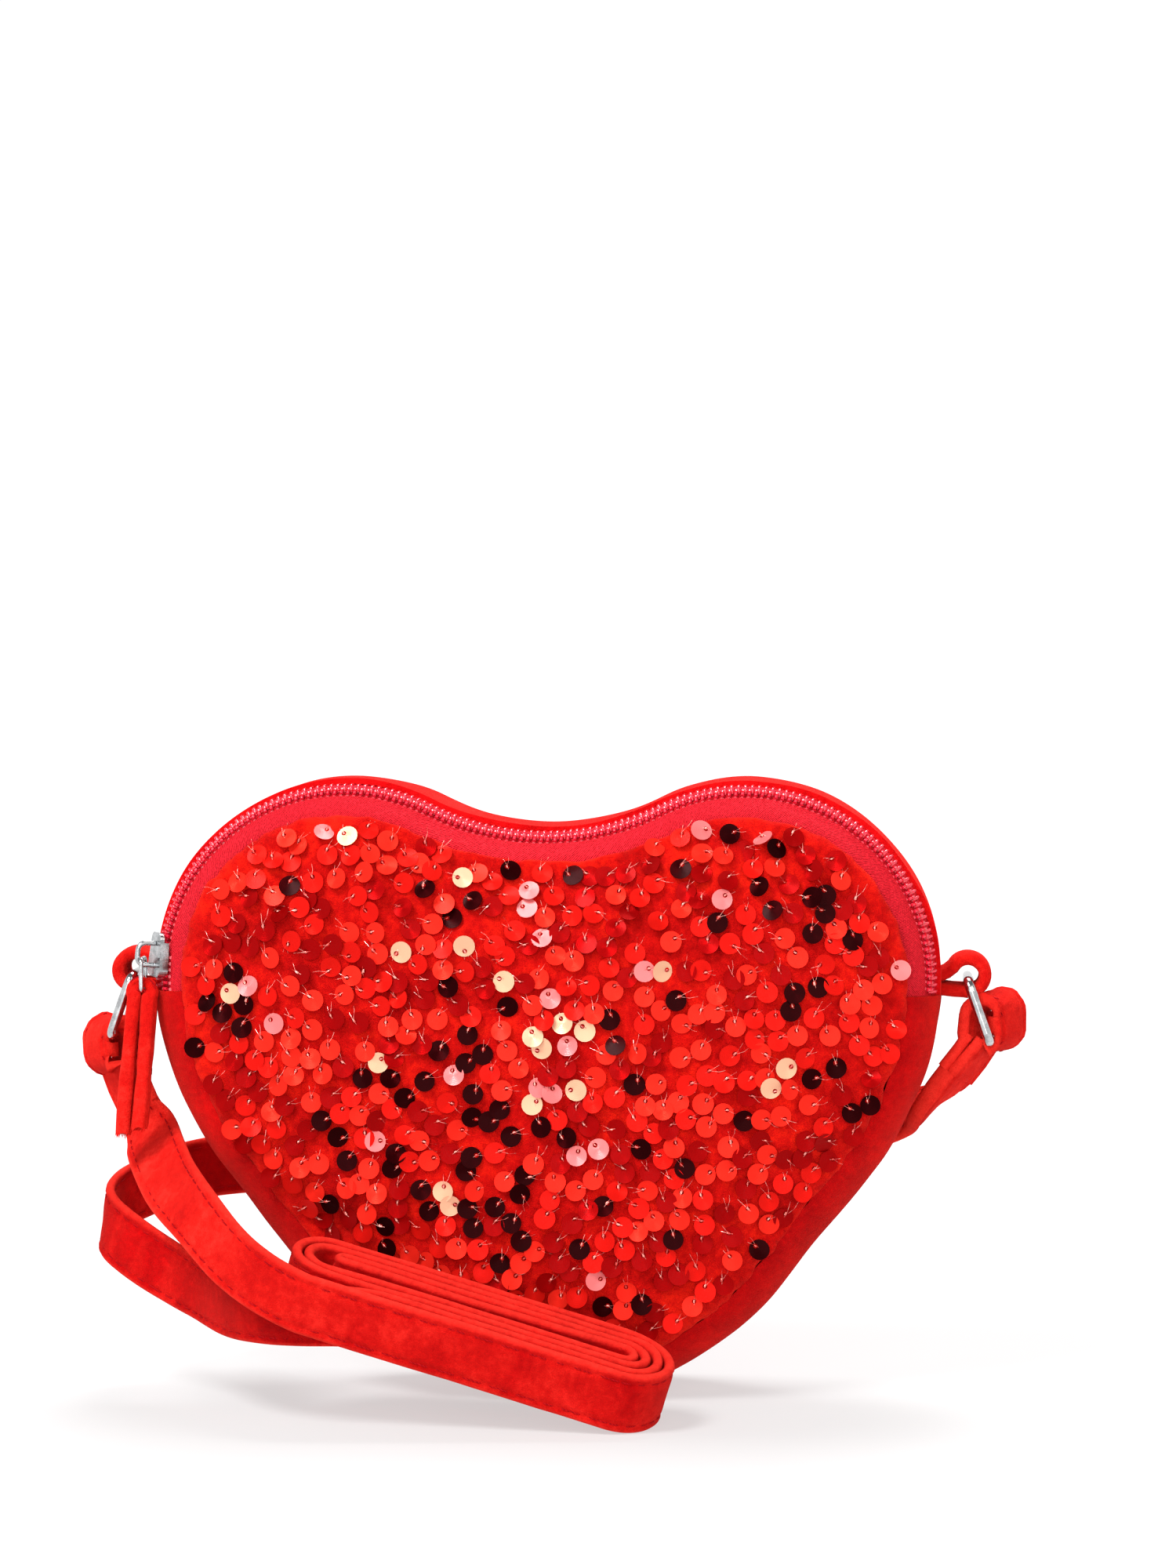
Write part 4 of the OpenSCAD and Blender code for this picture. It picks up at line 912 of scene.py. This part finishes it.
def smallStrands():  # one over the disc's edge, one beside it and the knot in its hole
    overPath = [(-0.9, -0.1, 0.1), (0.1, 0.0, 0.62), (1.3, 0.15, 0.25), (2.6, 0.3, -0.25)]
    besidePath = [(-0.1, 0.15, 0.1), (0.5, -0.25, 0.6), (1.7, -0.95, 0.35), (3.4, -1.3, -0.3)]
    over = smallTube("strandOver", overPath, 0.042, 3, clearThread)
    beside = smallTube("strandBeside", besidePath, 0.036, 3, clearThread)
    knot = smallTube("knot", [(-0.25, 0, 0.1), (0.0, 0.05, 0.28), (0.3, 0, 0.12)], 0.2, 5, redThread)
    return joinPieces("smallStrands", [over, beside, knot])


def joinPieces(name, pieces):
    shape = bmesh.new()
    for piece in pieces:
        shape.from_mesh(piece.data)
    first = pieces[0]
    shape.to_mesh(first.data)
    shape.free()
    for piece in pieces[1:]:
        bpy.data.objects.remove(piece)
    first.name = first.data.name = name
    first.data.shade_smooth()
    return first


def areaShare(areas, x, z):
    shares = [part * math.exp(-((x - a) ** 2 + (z - b) ** 2) / size ** 2) for (a, b), size, part in areas]
    return sum(shares)


def sequinPlaces():
    tree = BVHTree.FromObject(bpy.data.objects["frontPanel"], bpy.context.evaluated_depsgraph_get())
    rng = random.Random(sequins["seed"])
    share = shareFinder(frontInset)
    least = sequins["spacing"] ** 2
    found, places = [], []
    for _ in range(sequins["tries"]):
        x, z = rng.uniform(-90, 90), rng.uniform(6, 142)
        if share(x, z) > sequins["reach"] or any((x - a) ** 2 + (z - b) ** 2 < least for a, b in found):
            continue
        if fuzz((x, z, 0), sequins["bareSize"], 4) < rng.uniform(sequins["bareFrom"], sequins["bareTo"]):
            continue
        found.append((x, z))
        if len(found) == sequins["most"]:
            break
    for x, z in found:
        hit, normal, _, _ = tree.ray_cast(Vector((x, -80, z)) * mm, Vector((0, 1, 0)))
        if hit is None:
            continue
        hang = sequins["hangTurn"] * fuzz((x, z, 0), sequins["hangSize"], 2)
        turn = math.pi / 2 + hang + rng.gauss(0, sequins["hangSpread"])
        along = Vector((math.cos(turn), 0, math.sin(turn)))
        along = (along - along.dot(normal) * normal).normalized()
        rise = min(sequins["riseMost"], sequins["riseLeast"] + abs(rng.gauss(0, sequins["riseSpread"])))
        rise = math.radians(rise)
        roll = rng.gauss(0, sequins["roll"])
        out = (normal * math.cos(rise) + along * math.sin(rise) + normal.cross(along) * roll).normalized()
        dark = sequins["baseDark"] + areaShare(sequins["dark"], x, z)
        pale = sequins["basePale"] + areaShare(sequins["pale"], x, z)
        # each disc takes one painted reflection: the room's dark, cream or pink, or a lit or shaded red
        draw = rng.random()
        if draw < dark:
            tone = sequins["darkTone"]
        elif draw < dark + pale:
            tone = sequins["paleTone"]
        elif draw < dark + pale * sequins["pinkShare"] + sequins["basePink"]:
            tone = sequins["pinkTone"]
        else:
            tone = rng.choice(sequins["redTones"])
        spot = (hit + normal * sequins["lift"] * rng.uniform(0.6, 1.5) * mm) / mm
        places.append((tuple(spot), tuple(along), tuple(out), tone))
    return places


places = sequinPlaces()
unit = smallSequin()
sewn = placeMany("sewnSequins", places, unit, film, 0.04, 0.2, 0.03, 5)
finishPiece(sewn, "purse", "sequin_film", "sequins")
strands = smallStrands()
threads = placeMany("sequinThreads", places, strands, clearThread, 0.06, 0.7, 0.25, 6)
finishPiece(threads, "purse", "sequin_film")
dropSmall(unit, strands)
print("sequins sewn on:", len(places))


# The coil: one row of nylon loops on each tape, meshed along the middle
chainInset = heart["frontR"] - tapeR * math.cos(tilt)
chainY = -heart["stripFlat"] / 2 - tapeR * math.sin(tilt)
chainLine = [(x - chainInset * nx, z - chainInset * nz, nx, nz) for x, z, nx, nz in reversed(upperStations)]
chainRun = [0.0]
for a, b in zip(chainLine, chainLine[1:]):
    chainRun.append(chainRun[-1] + math.dist(a[:2], b[:2]))
slider = {"rest": math.radians(6), "parted": 1.3, "past": 1}
sliderS = (heart["sideR"] - chainInset) * zipEndA + (heart["lobeR"] - chainInset) * slider["rest"]
coil = {
    "wire": 0.42, "headSwell": 0.14, "legsIn": 0.82, "loopR": 1.0, "loopH": 0.8, "slant": 0.16,
    "halfTurn": 150, "tuck": 0.25, "points": 12, "sewnAt": 1.3, "sewnUp": 0.98, "bead": 0.62, "beadR": 0.15,
}


def chainAt(s):  # middle of the coil, its heading, its way off the tape and its way to the front
    x, z, nx, nz = (np.interp(s, chainRun, [p[k] for p in chainLine]) for k in range(4))
    size = math.hypot(nx, nz)
    nx, nz = nx / size, nz / size
    up = Vector((nx * math.cos(tilt), -math.sin(tilt), nz * math.cos(tilt)))
    along = Vector((nz, 0, -nx))
    return Vector((x, chainY, z)), along, up, along.cross(up)


def smallLoop():  # its head is at the middle of the coil, its legs lie over and under the sewing
    path = []
    for i in range(coil["points"] + 1):
        a = math.radians(2 * coil["halfTurn"] * i / coil["points"] - coil["halfTurn"])
        tuck = coil["tuck"] if i in (0, coil["points"]) else 0
        leg = coil["loopR"] * math.cos(a) - coil["legsIn"] - tuck
        path.append((coil["slant"] * math.sin(a), leg, coil["loopH"] * math.sin(a)))

    def wire(s):
        return coil["wire"] + coil["headSwell"] * math.exp(-((s - 0.5) / 0.12) ** 2)
    return smallTube("smallLoop", path, wire, 6, nylon)


loop = smallLoop()
count = math.floor(chainRun[-1] / zipper["pitch"])
for name, node, side, start in (
    ("zipCoilFront", "zip_coil_front", 1, 0.25), ("zipCoilRear", "zip_coil_rear", -1, 0.75),
):
    places, sewing = [], []
    for i in range(count):
        s = (i + start) * zipper["pitch"]
        middle, along, up, front = chainAt(s)
        apart = slider["parted"] if s < sliderS + slider["past"] else 0.0
        middle = middle + side * apart * front
        heading = along if side > 0 else -along
        if (up.cross(heading)).dot(front) * side > 0:
            heading = -heading
        places.append((tuple(middle), tuple(heading), tuple(up)))
        sewn = middle + side * front * coil["sewnAt"] + up * coil["sewnUp"]
        sewing.append((tuple(sewn), tuple(along), tuple(up)))
    finishPiece(placeMany(name, places, loop, nylon, 0.02, 0.03, 0.02, 11), "purse", "zip_coil", node)
    beadPath = [(-coil["bead"], 0, -0.1), (0, 0, 0.08), (coil["bead"], 0, -0.1)]
    bead = smallTube("bead", beadPath, coil["beadR"], 5, redThread)
    finishPiece(placeMany(name + "Sewing", sewing, bead, tapeTwill, 0.05, 0.1, 0.1, 12), "purse", "zip_tape")
    dropSmall(bead)
dropSmall(loop)
print("zip coil made:", count, "loops on each side")

# The solids of the slider and the rings are right, and get a finish
finishes = {"slider_body": dullNickel, "pull_ring": nickel, "left_ring": nickel, "right_ring": nickel}
for node, finish in finishes.items():
    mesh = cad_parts[node].data
    mesh.materials.clear()
    mesh.materials.append(finish)

# The strap, its sewn ends and the loops that hold the rings. Leans and turns are in degrees.
strap = {
    "width": 15.0, "thick": 2.4, "endL": 14.0, "endThick": 4.0, "loopR": 6.2, "rise": 3.0, "rightSlack": 0.6,
    "leftLean": 24, "rightLean": 39, "leftTurn": 40, "rightTurn": 30, "runSwell": 1.0, "wrapFrom": 20,
    "loopThick": 3.2, "loopOut": 5.6, "ringWire": 2.4, "ringH": 15.4, "ringLean": 19.5, "ringPlay": 0.3,
    "tabW": 12.0, "tabT": 2.4, "tabR": 5.0,
    "stitchIn": 2.1, "stitchPitch": 3.3, "groove": 0.34, "grooveW": 0.55, "facets": 22, "edgeFacets": 7,
    "swaySize": 14, "driftSize": 11, "drift": 0.6, "puffSize": 6, "puff": 0.14,
    "runShade": 0.36,  # painted shade at the front run's lower end
}
hank = {
    "length": 96.0, "gap": 0.5, "slope": math.radians(16.5), "lean": math.radians(14), "right": 28.5,
    "before": 38.0, "press": 0.4, "fold": 3.0, "innerStart": 0.2, "turnLayers": 3.4,
    "lift": 0.5, "liftSize": 30, "shadeRun": 300, "stitchedEnd": 30,
}


def direction(lean):
    return np.array([-math.sin(math.radians(lean)), -math.cos(math.radians(lean))])


def inDepth(flat, side=1):  # a way or a place in the plane of the rings, right or left
    return np.array([side * flat[0], 0, flat[1]])


footX = heart["width"] / 2 + heart["gap"]
loopMid = np.array([footX + strap["tabR"] + strap["tabT"] / 2, widestZ])
ringBar = loopMid - [0, strap["tabR"] - strap["tabT"] - strap["ringWire"] / 2 - strap["ringPlay"]]
ringDown = direction(strap["ringLean"]) * [-1, 1]
strapBar = ringBar + strap["ringH"] * ringDown
barPlay = strap["loopR"] - strap["thick"] - strap["ringWire"] / 2 - strap["ringPlay"]
rightLoop = strapBar - barPlay * ringDown * [-1, 1]
leftFar = strapBar + barPlay * ringDown
leftLoop = leftFar - [0, strap["rise"]]
tailL = strap["endL"] - heart["gap"]
rightDown, leftDown = inDepth(direction(strap["rightLean"])), inDepth(direction(strap["leftLean"]), -1)
rightLeaves = inDepth(rightLoop) + tailL * rightDown
leftLeaves = inDepth(leftLoop, -1) + tailL * leftDown

layerPitch = strap["thick"] + hank["gap"]
turnR = hank["turnLayers"] * layerPitch
outerR = turnR + layerPitch / 2 + strap["thick"] / 2
hankA = hank["length"] / 2 - outerR
slopeS, slopeC = math.sin(hank["slope"]), math.cos(hank["slope"])
leanS, leanC = math.sin(hank["lean"]), math.cos(hank["lean"])
drop = outerR * (slopeS + leanS * slopeC - math.hypot(slopeS, leanS * slopeC))
corner = np.array([hank["right"], frontY - hank["before"], -drop - hank["press"]])


def turnedBy(p):
    q = (p[0], p[1] * leanC - p[2] * leanS, p[1] * leanS + p[2] * leanC)
    return np.array([q[0] * slopeC + q[2] * slopeS, q[1], q[2] * slopeC - q[0] * slopeS])


def onHank(u, v, w):
    return corner + turnedBy((u - hank["length"] / 2, v + outerR, w))


def arcPoints(x, y, r, start, stop, step=0.9):
    count = max(6, math.ceil(math.radians(abs(stop - start)) * r / step))
    turns = spread(math.radians(start), math.radians(stop), count)[1:-1]
    return [(x + r * math.cos(a), y + r * math.sin(a)) for a in turns]


def straight(a, b, v, step=2.2):
    return [(u, v) for u in spread(a, b, math.ceil(abs(b - a) / step))]


def woundHalf(out, start):  # one side of the doubled strap, from the front layer in
    wide, middle, narrow = turnR + out, turnR - layerPitch + out, turnR - 2 * layerPitch + out
    return (
        straight(start, hankA, -wide) + arcPoints(hankA, 0, wide, -90, 90)
        + straight(hankA, -hankA, wide) + arcPoints(-hankA, layerPitch, middle, 90, 270)
        + straight(-hankA, hankA, -narrow) + arcPoints(hankA, 0, narrow, -90, 90)
        + straight(hankA, hank["fold"] - hankA, narrow)
    )


frontStart = -hankA - strap["thick"]
innerStart = -hankA + 2 * hankA * hank["innerStart"]
woundPath = (
    woundHalf(layerPitch / 2, frontStart)
    + arcPoints(hank["fold"] - hankA, turnR - 2 * layerPitch, layerPitch / 2, 90, 270, 0.5)
    + woundHalf(-layerPitch / 2, innerStart)[::-1]
)
hankAlong, hankAcross, hankUp = turnedBy((1, 0, 0)), turnedBy((0, 1, 0)), turnedBy((0, 0, 1))
frontMeets = onHank(frontStart, -turnR - layerPitch / 2, strap["width"] / 2) + heart["gap"] * hankAlong
backMeets = onHank(innerStart, layerPitch / 2 - turnR, strap["width"] / 2) + heart["gap"] * hankAlong
behindY = backY + cloth["backCrown"] + strap["thick"]


def placed(a, b, c):  # shares of the heart's half width, its front and its widest level
    return np.array([a * heart["width"] / 2, -b * frontY, c * widestZ])


def behind(share, level):
    return np.array([share * heart["width"] / 2, behindY, level * widestZ])


def endWidth(side):  # the sewn ends are turned a little to the front
    turn = math.radians(strap["leftTurn"] if side < 0 else strap["rightTurn"])
    return (side * math.sin(turn), math.cos(turn), 0.0)


# Places along the runs: where, heading, and the way of the strap's width
up = np.array([0.0, 0, 1])
dip = math.radians(20)
underHank = onHank(-hankA - 4 * strap["thick"], layerPitch / 2 - turnR + 0.85 * strap["thick"], 0)
backPlaces = [
    (rightLeaves, rightDown, endWidth(1)),
    (rightLeaves + 2.5 * strap["thick"] * rightDown, rightDown, endWidth(1)),
    (placed(0.962, 0.71, 0.66), (-0.45, 0.8, -0.35), (0.4, 0.62, 0.68)),
    (behind(0.6, 0.59), (-1, 0.06, -0.15), up),
    (behind(0, 0.53), (-1, 0, -0.05), up),
    (behind(-0.6, 0.5), (-1, -0.04, 0), up),
    (placed(-0.93, 0.95, 0.49), (-0.85, -0.5, -0.1), up),
    (placed(-1.15, -0.2, 0.405), (0.05, -1, -0.2), (0.12, 0, 1)),
    (placed(-0.889, -1.09, 0.27), (0.66, -0.72, -0.2), (0.1, 0, 1)),
    (
        underHank, math.cos(dip) * hankAlong + math.sin(dip) * hankUp - 0.3 * hankAcross,
        math.cos(dip) * hankUp - math.sin(dip) * hankAlong,
    ),
    (backMeets, hankAlong, hankUp),
]
frontPlaces = [
    (leftLeaves, leftDown, -np.array(endWidth(-1))),
    (leftLeaves + strap["thick"] * leftDown, leftDown, -np.array(endWidth(-1))),
    (placed(-0.968, -0.95, 0.545), (0.42, -0.66, -0.62), (0.83, 0, 0.56)),
    (placed(-0.854, -1.99, 0.475), (0.55, -0.65, -0.5), (0.55, -0.1, 0.8)),
    (frontMeets, hankAlong, hankUp),
]


def ofLength(way):
    return way / np.linalg.norm(way)


def hermitePath(places, step=1.8):  # centres and width directions, smooth through every place
    path = []
    for (p, pa, pw), (q, qa, qw) in zip(places, places[1:]):
        reach = np.linalg.norm(np.subtract(q, p))
        coarse = max(2, round(reach / (2 * strap["thick"])))
        fine = coarse * max(1, round(reach / coarse / step))
        for i in range(fine):
            s = i / fine
            point = (
                (2 * s ** 3 - 3 * s ** 2 + 1) * np.array(p) + (s ** 3 - 2 * s ** 2 + s) * reach * np.array(pa)
                + (3 * s ** 2 - 2 * s ** 3) * np.array(q) + (s ** 3 - s ** 2) * reach * np.array(qa)
            )
            path.append((point, ofLength(np.array(pw) * (1 - s) + np.array(qw) * s)))
    path.append((np.array(places[-1][0]), np.array(places[-1][2], float)))
    for _ in range(20):  # ease the bends
        eased = []
        for a, b, c in zip(path, path[1:], path[2:]):
            eased.append(((a[0] + 2 * b[0] + c[0]) / 4, ofLength((a[1] + 2 * b[1] + c[1]) / 4)))
        path = [path[0]] + eased + [path[-1]]
    return path


def strapSection(width, thick):  # round edges and a groove along each line of stitches
    half, r = width / 2, thick / 2
    stitched = half - strap["stitchIn"]
    side = []
    for a in spread(-half + r, half - r, strap["facets"]):
        dips = [math.exp(-((a - s * stitched) / strap["grooveW"]) ** 2) for s in (-1, 1)]
        side.append((a, r - strap["groove"] * sum(dips)))
    turns = spread(0, math.pi, strap["edgeFacets"])[1:-1]
    edge = [(half - r + r * math.sin(t), r * math.cos(t)) for t in turns]
    return side + edge + [(a, -b) for a, b in reversed(side)] + [(-a, -b) for a, b in edge]


def runSwell(share):  # as thick as the sewn end where it comes out of it
    return 1.0, 1 + strap["runSwell"] * math.exp(-(share / 0.06) ** 2)


def strapPiece(name, path, starts, seed, width=None, soft=0.3, thick=None, swell=None, shadeAt=None):
    section = strapSection(width or strap["width"], thick or strap["thick"])
    rings, weave, lines, shadeShares, run = [], [], [], [], 0.0
    last = len(path) - 1
    for i, (point, wide) in enumerate(path):
        if i in (0, last):
            along = np.array(starts[min(i, 1)], float)
        else:
            along = path[i + 1][0] - path[i - 1][0]
        along /= np.linalg.norm(along)
        face = ofLength(np.cross(along, wide))
        wide = np.cross(face, along)
        if i:
            run += float(np.linalg.norm(point - path[i - 1][0]))
        ease = min(1, i / 4, (last - i) / 4)  # the ends keep the plain section
        drift = soft * ease * strap["drift"] * fuzz((run, 0, 4), strap["driftSize"], seed)
        wider, thicker = swell(i / last) if swell else (1, 1)
        ring = []
        for a, b in section:
            a, b = a * wider, b * thicker
            sway = soft * ease * fuzz((run, a, 0), strap["swaySize"], seed)
            puff = 1 + ease * strap["puff"] * fuzz((run, a, 9), strap["puffSize"], seed + 1)
            p = point + wide * (a + drift) + face * (b * puff + sway)
            ring.append((p[0], p[1], max(p[2], 0.0)))
            weave.append((run, a, 0))
        rings.append(ring)
        shadeShares += [shadeAt(run, i / last) if shadeAt else 0.0] * len(ring)
        lines.append((run, point, along, face, wide))
    piece = sweep(name, rings, strapVelvet, weave)
    piece.data.attributes.new("nap", "FLOAT", "POINT").data.foreach_set("value", shadeShares)
    return piece, lines, run


stitch = {"half": 1.15, "flat": 0.6, "sink": 0.16, "stand": 0.06, "r": 0.17, "lift": 0.1}
stitchPath = [
    (-stitch["half"], 0, -stitch["sink"]), (-stitch["flat"], 0, stitch["stand"]),
    (stitch["flat"], 0, stitch["stand"]), (stitch["half"], 0, -stitch["sink"]),
]
smallStitch = smallTube("smallStitch", stitchPath, stitch["r"], 5, redThread)


def stitchPlaces(lines, inset=strap["stitchIn"], thick=strap["thick"], width=strap["width"]):
    runs = [line[0] for line in lines]
    places = []
    half, rise = width / 2 - inset, thick / 2 - strap["groove"] + stitch["lift"]
    for k in range(1, int(runs[-1] / strap["stitchPitch"])):
        i = min(int(np.searchsorted(runs, k * strap["stitchPitch"])), len(lines) - 1)
        _, point, along, face, wide = lines[i]
        for side in (1, -1):
            for edge in (-1, 1):
                spot = point + wide * edge * half + face * side * rise
                places.append((tuple(spot), tuple(along), tuple(face * side)))
    return places


def sewStitches(name, places, body, seed):
    piece = placeMany(name, places, smallStitch, redThread, 0.04, 0.05, 0.1, seed)
    if isinstance(body, str):
        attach(piece, body)
    else:
        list(body)
        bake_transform(piece)


def frontShade(run, share):  # painted darker towards the hank
    return strap["runShade"] * share ** 2


# painted shade over most of the back run
def backShade(run, share):
    return min(1, 3 * share)


# painted shade on the hank, deeper along its length
def hankShade(run, share):
    return min(1, strap["runShade"] + run / hank["shadeRun"])


strapLength = 0.0
for name, node, places, down, ring, leaves, seed, nap in (
    ("strapFrontRun", "strap_front_run", frontPlaces, leftDown, "left_ring", leftLeaves, 31, frontShade),
    ("strapBackRun", "strap_back_run", backPlaces, rightDown, "right_ring", rightLeaves, 32, backShade),
):
    path = hermitePath(places)
    piece, lines, run = strapPiece(name, path, (down, hankAlong), seed, swell=runSwell, shadeAt=nap)
    strapLength += run
    bend = ("purse", ring, places[3][0] * mm, leaves * mm)
    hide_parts(node)
    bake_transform(piece)
    sewStitches("stitches" + name[5:], stitchPlaces(lines), bend, seed + 10)

woundPlaces = []
for i, (u, v) in enumerate(woundPath):
    lift = hank["lift"] * fuzz((i * 2.0, 0, 0), hank["liftSize"], 7)
    woundPlaces.append((onHank(u, v, strap["width"] / 2 + lift), hankUp))
ends = (hankAlong, -hankAlong)
hankPiece, lines, run = strapPiece("strapHank", woundPlaces, ends, 33, soft=0.12, shadeAt=hankShade)
strapLength += run
finishPiece(hankPiece, "purse", "strap_velvet", "strap_hank")
shown = [line for line in lines if line[0] < 2 * hank["length"] + hank["stitchedEnd"]]
sewStitches("stitchesHank", stitchPlaces(shown), "purse", 43)


def flatPath(points, side=1, wide=(0.0, 1.0, 0.0)):  # points are x and z in the plane of the ring
    return [(inDepth(p, side), np.array(wide)) for p in points]


def pathEnds(path):
    return path[1][0] - path[0][0], path[-1][0] - path[-2][0]


def endSwell(share):  # full round the ring's bar, flatter where it is sewn down
    full = math.exp(-((share - 0.5) / 0.3) ** 4)
    crumple = 1 + 0.14 * full * math.sin(share * 23) * math.sin(share * 61)
    return 1 - 0.08 * full, (0.72 + 0.28 * full) * crumple * strap["endThick"] / strap["thick"]


def endPoints(middle, far, lean):  # down the tail, round the ring's bar and back down beside it
    r = strap["loopR"] - strap["endThick"] / 2 - 0.5
    down = direction(lean)
    across = np.array([-down[1], down[0]])
    around = []
    for a in spread(strap["wrapFrom"], 360 - strap["wrapFrom"], 34):
        turn = math.radians(a) + math.atan2(down[1], down[0])
        base = np.array(far if math.sin(turn) > 0 else middle)
        around.append(base + r * np.array([math.cos(turn), math.sin(turn)]))
    tail = [middle + s * down for s in (strap["endL"], strap["endL"] * 0.8, strap["endL"] * 0.6)]
    first = [p + across * strap["thick"] / 2 for p in tail]
    other = [p - across * strap["thick"] / 2 for p in reversed(tail)]
    return first + around + other


def loopPoints():  # from the seam out, round the ring's bar and back into the seam
    r = strap["loopOut"] - strap["loopThick"] / 2
    turns = spread(math.radians(-105), math.radians(152), 26)
    around = [(loopMid[0] + r * math.cos(a), loopMid[1] + r * math.sin(a)) for a in turns]
    out = [(footX + x, widestZ + z) for x, z in ((-1.5, -3.3), (0.6, -3.4), (2.6, -3.7))]
    back = [(footX + x, widestZ + z) for x, z in ((1.2, 0.7), (-0.2, 0.1), (-1.5, -0.1))]
    return out + around + back


rightFar = rightLoop + [0, strap["rise"] + strap["rightSlack"]]
for side, word, middle, far, lean, seed in (
    (1, "right", rightLoop, rightFar, strap["rightLean"], 34),
    (-1, "left", leftLoop, leftFar, strap["leftLean"], 35),
):
    ring, title = word + "_ring", word.title()
    path = flatPath(endPoints(middle, far, lean), side, endWidth(side))
    name = "strap" + title + "End"
    piece, lines, run = strapPiece(name, path, pathEnds(path), seed, soft=0.8, swell=endSwell)
    strapLength += run
    finishPiece(piece, ring, "strap_velvet", "strap_" + word + "_end")
    sewStitches("stitches" + title + "End", stitchPlaces(lines), ring, 44)
    path = flatPath(loopPoints(), side)
    sizes = {"width": strap["tabW"], "thick": strap["loopThick"], "soft": 0.25}
    piece, lines, run = strapPiece(word + "RingLoop", path, pathEnds(path), seed + 4, **sizes)
    finishPiece(piece, "purse", "strap_velvet", ring + "_loop")
print("strap made, length", round(strapLength), "mm")

# The pull tab: a folded velvet strip with raw, frayed ends
pull = {
    "length": 31.0, "lean": math.radians(5), "layer": 3.6, "deep": 6.4, "short": 1.8, "hang": 3.5,
    "forward": 0.4, "ringW": 5.2, "wire": 1.1, "ringPlay": 0.3, "neckAt": 0.51, "squeeze": 0.3,
    "ridge": 0.22, "ridgeTurn": 2.9, "ragged": 1.1, "raggedSize": 1.6, "unfolded": 1.6,
    "frays": 70, "frayL": 1.4, "frayR": 0.075, "stitchIn": 1.3,
}
low, high = (np.array(p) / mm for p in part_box("pull_ring"))
tabTop = np.array([(low[0] + high[0]) / 2, (low[1] + high[1]) / 2, low[2] + pull["wire"] / 2])


def tabPoints():  # up the left layer, over the ring's foot and down the shorter right layer
    r = pull["wire"] / 2 + pull["ringPlay"] + 0.7 * pull["layer"] / 2
    side = pull["layer"] / 2 - 0.1
    longL = pull["length"] + pull["hang"] - r
    shortL = longL - pull["short"]
    left = [(-side - 0.25 * math.sin(s * 3), -r - s * longL) for s in spread(1, 0, 16)]
    right = [(side + 0.3 * math.sin(s * 2.5), -r - s * shortL) for s in spread(0, 1, 16)]
    over = [(-r * math.cos(a), r * math.sin(a)) for a in spread(math.radians(-35), math.radians(215), 14)]
    cosL, sinL = math.cos(pull["lean"]), math.sin(pull["lean"])
    points = left + over + right
    return [(tabTop[0] + x * cosL + z * sinL, tabTop[2] - x * sinL + z * cosL) for x, z in points]


def tabSwell(share):  # squeezed where it goes through the ring
    neck = math.exp(-((share - pull["neckAt"]) / 0.12) ** 4)
    thin = pull["squeeze"] * math.exp(-((share - pull["neckAt"]) / 0.07) ** 4)
    opening = pull["ringW"] - 2 * pull["wire"] - 2 * pull["ringPlay"]
    return 1 - neck * (1 - opening / pull["deep"]), 1 - thin + 0.06 * math.sin(share * 21)


forward = np.array([0, tabTop[1] - pull["forward"], 0])
path = [(p + forward, wide) for p, wide in flatPath(tabPoints())]
sizes = {"width": pull["deep"], "thick": pull["layer"], "soft": 0.3, "swell": tabSwell}
pullTab, lines, run = strapPiece("pullTab", path, pathEnds(path), 55, **sizes)
shape = bmesh.new()
shape.from_mesh(pullTab.data)
for vertex in shape.verts:  # lengthwise ridges of the folded velvet
    across = vertex.co.x / mm - tabTop[0] + math.sin(pull["lean"]) * (tabTop[2] - vertex.co.z / mm)
    side = 1 if vertex.co.y / mm < tabTop[1] else -1
    vertex.co.y += side * pull["ridge"] * math.cos(across * pull["ridgeTurn"]) * mm
for end in (lines[0], lines[-1]):  # the raw ends are ragged
    for vertex in shape.verts:
        offset = np.array(vertex.co) / mm - end[1]
        if abs(offset.dot(end[2])) < 0.4 and np.linalg.norm(offset) < 6:
            spot = (offset[0] * 2, offset[1] * 2, 0)
            vertex.co.z += pull["ragged"] * fuzz(spot, pull["raggedSize"], 53) * mm
shape.to_mesh(pullTab.data)
shape.free()
finishPiece(pullTab, "pull_tab", "strap_velvet", "pull_tab")
rng = random.Random(8)
frays = []
for (_, middle, along, face, wide), way in ((lines[0], -1), (lines[-1], 1)):
    for _ in range(pull["frays"]):
        spot = middle + wide * rng.uniform(-0.46, 0.46) * pull["deep"]
        spot = spot + face * rng.uniform(-0.46, 0.46) * pull["layer"] - way * along * 0.3
        out = way * along + np.array([rng.gauss(0, 0.25), rng.gauss(0, 0.25), 0])
        frays.append((tuple(spot), tuple(wide), tuple(ofLength(out))))
fibrePath = [(0, 0, -0.3), (0.05, 0.02, 0.4), (-0.04, 0.05, 0.9), (0.06, 0, pull["frayL"])]
fibre = smallTube("fibre", fibrePath, lambda s: pull["frayR"] * (1.1 - s), 3, strapVelvet)
finishPiece(placeMany("tabFrays", frays, fibre, strapVelvet, 0.3, 3.1, 0.5, 47), "pull_tab", "strap_velvet")
sewing = stitchPlaces(lines, pull["stitchIn"], pull["layer"] - 0.5, pull["deep"])
sewStitches("stitchesPullTab", sewing, "pull_tab", 46)
dropSmall(fibre, smallStitch)
print("pull tab made")
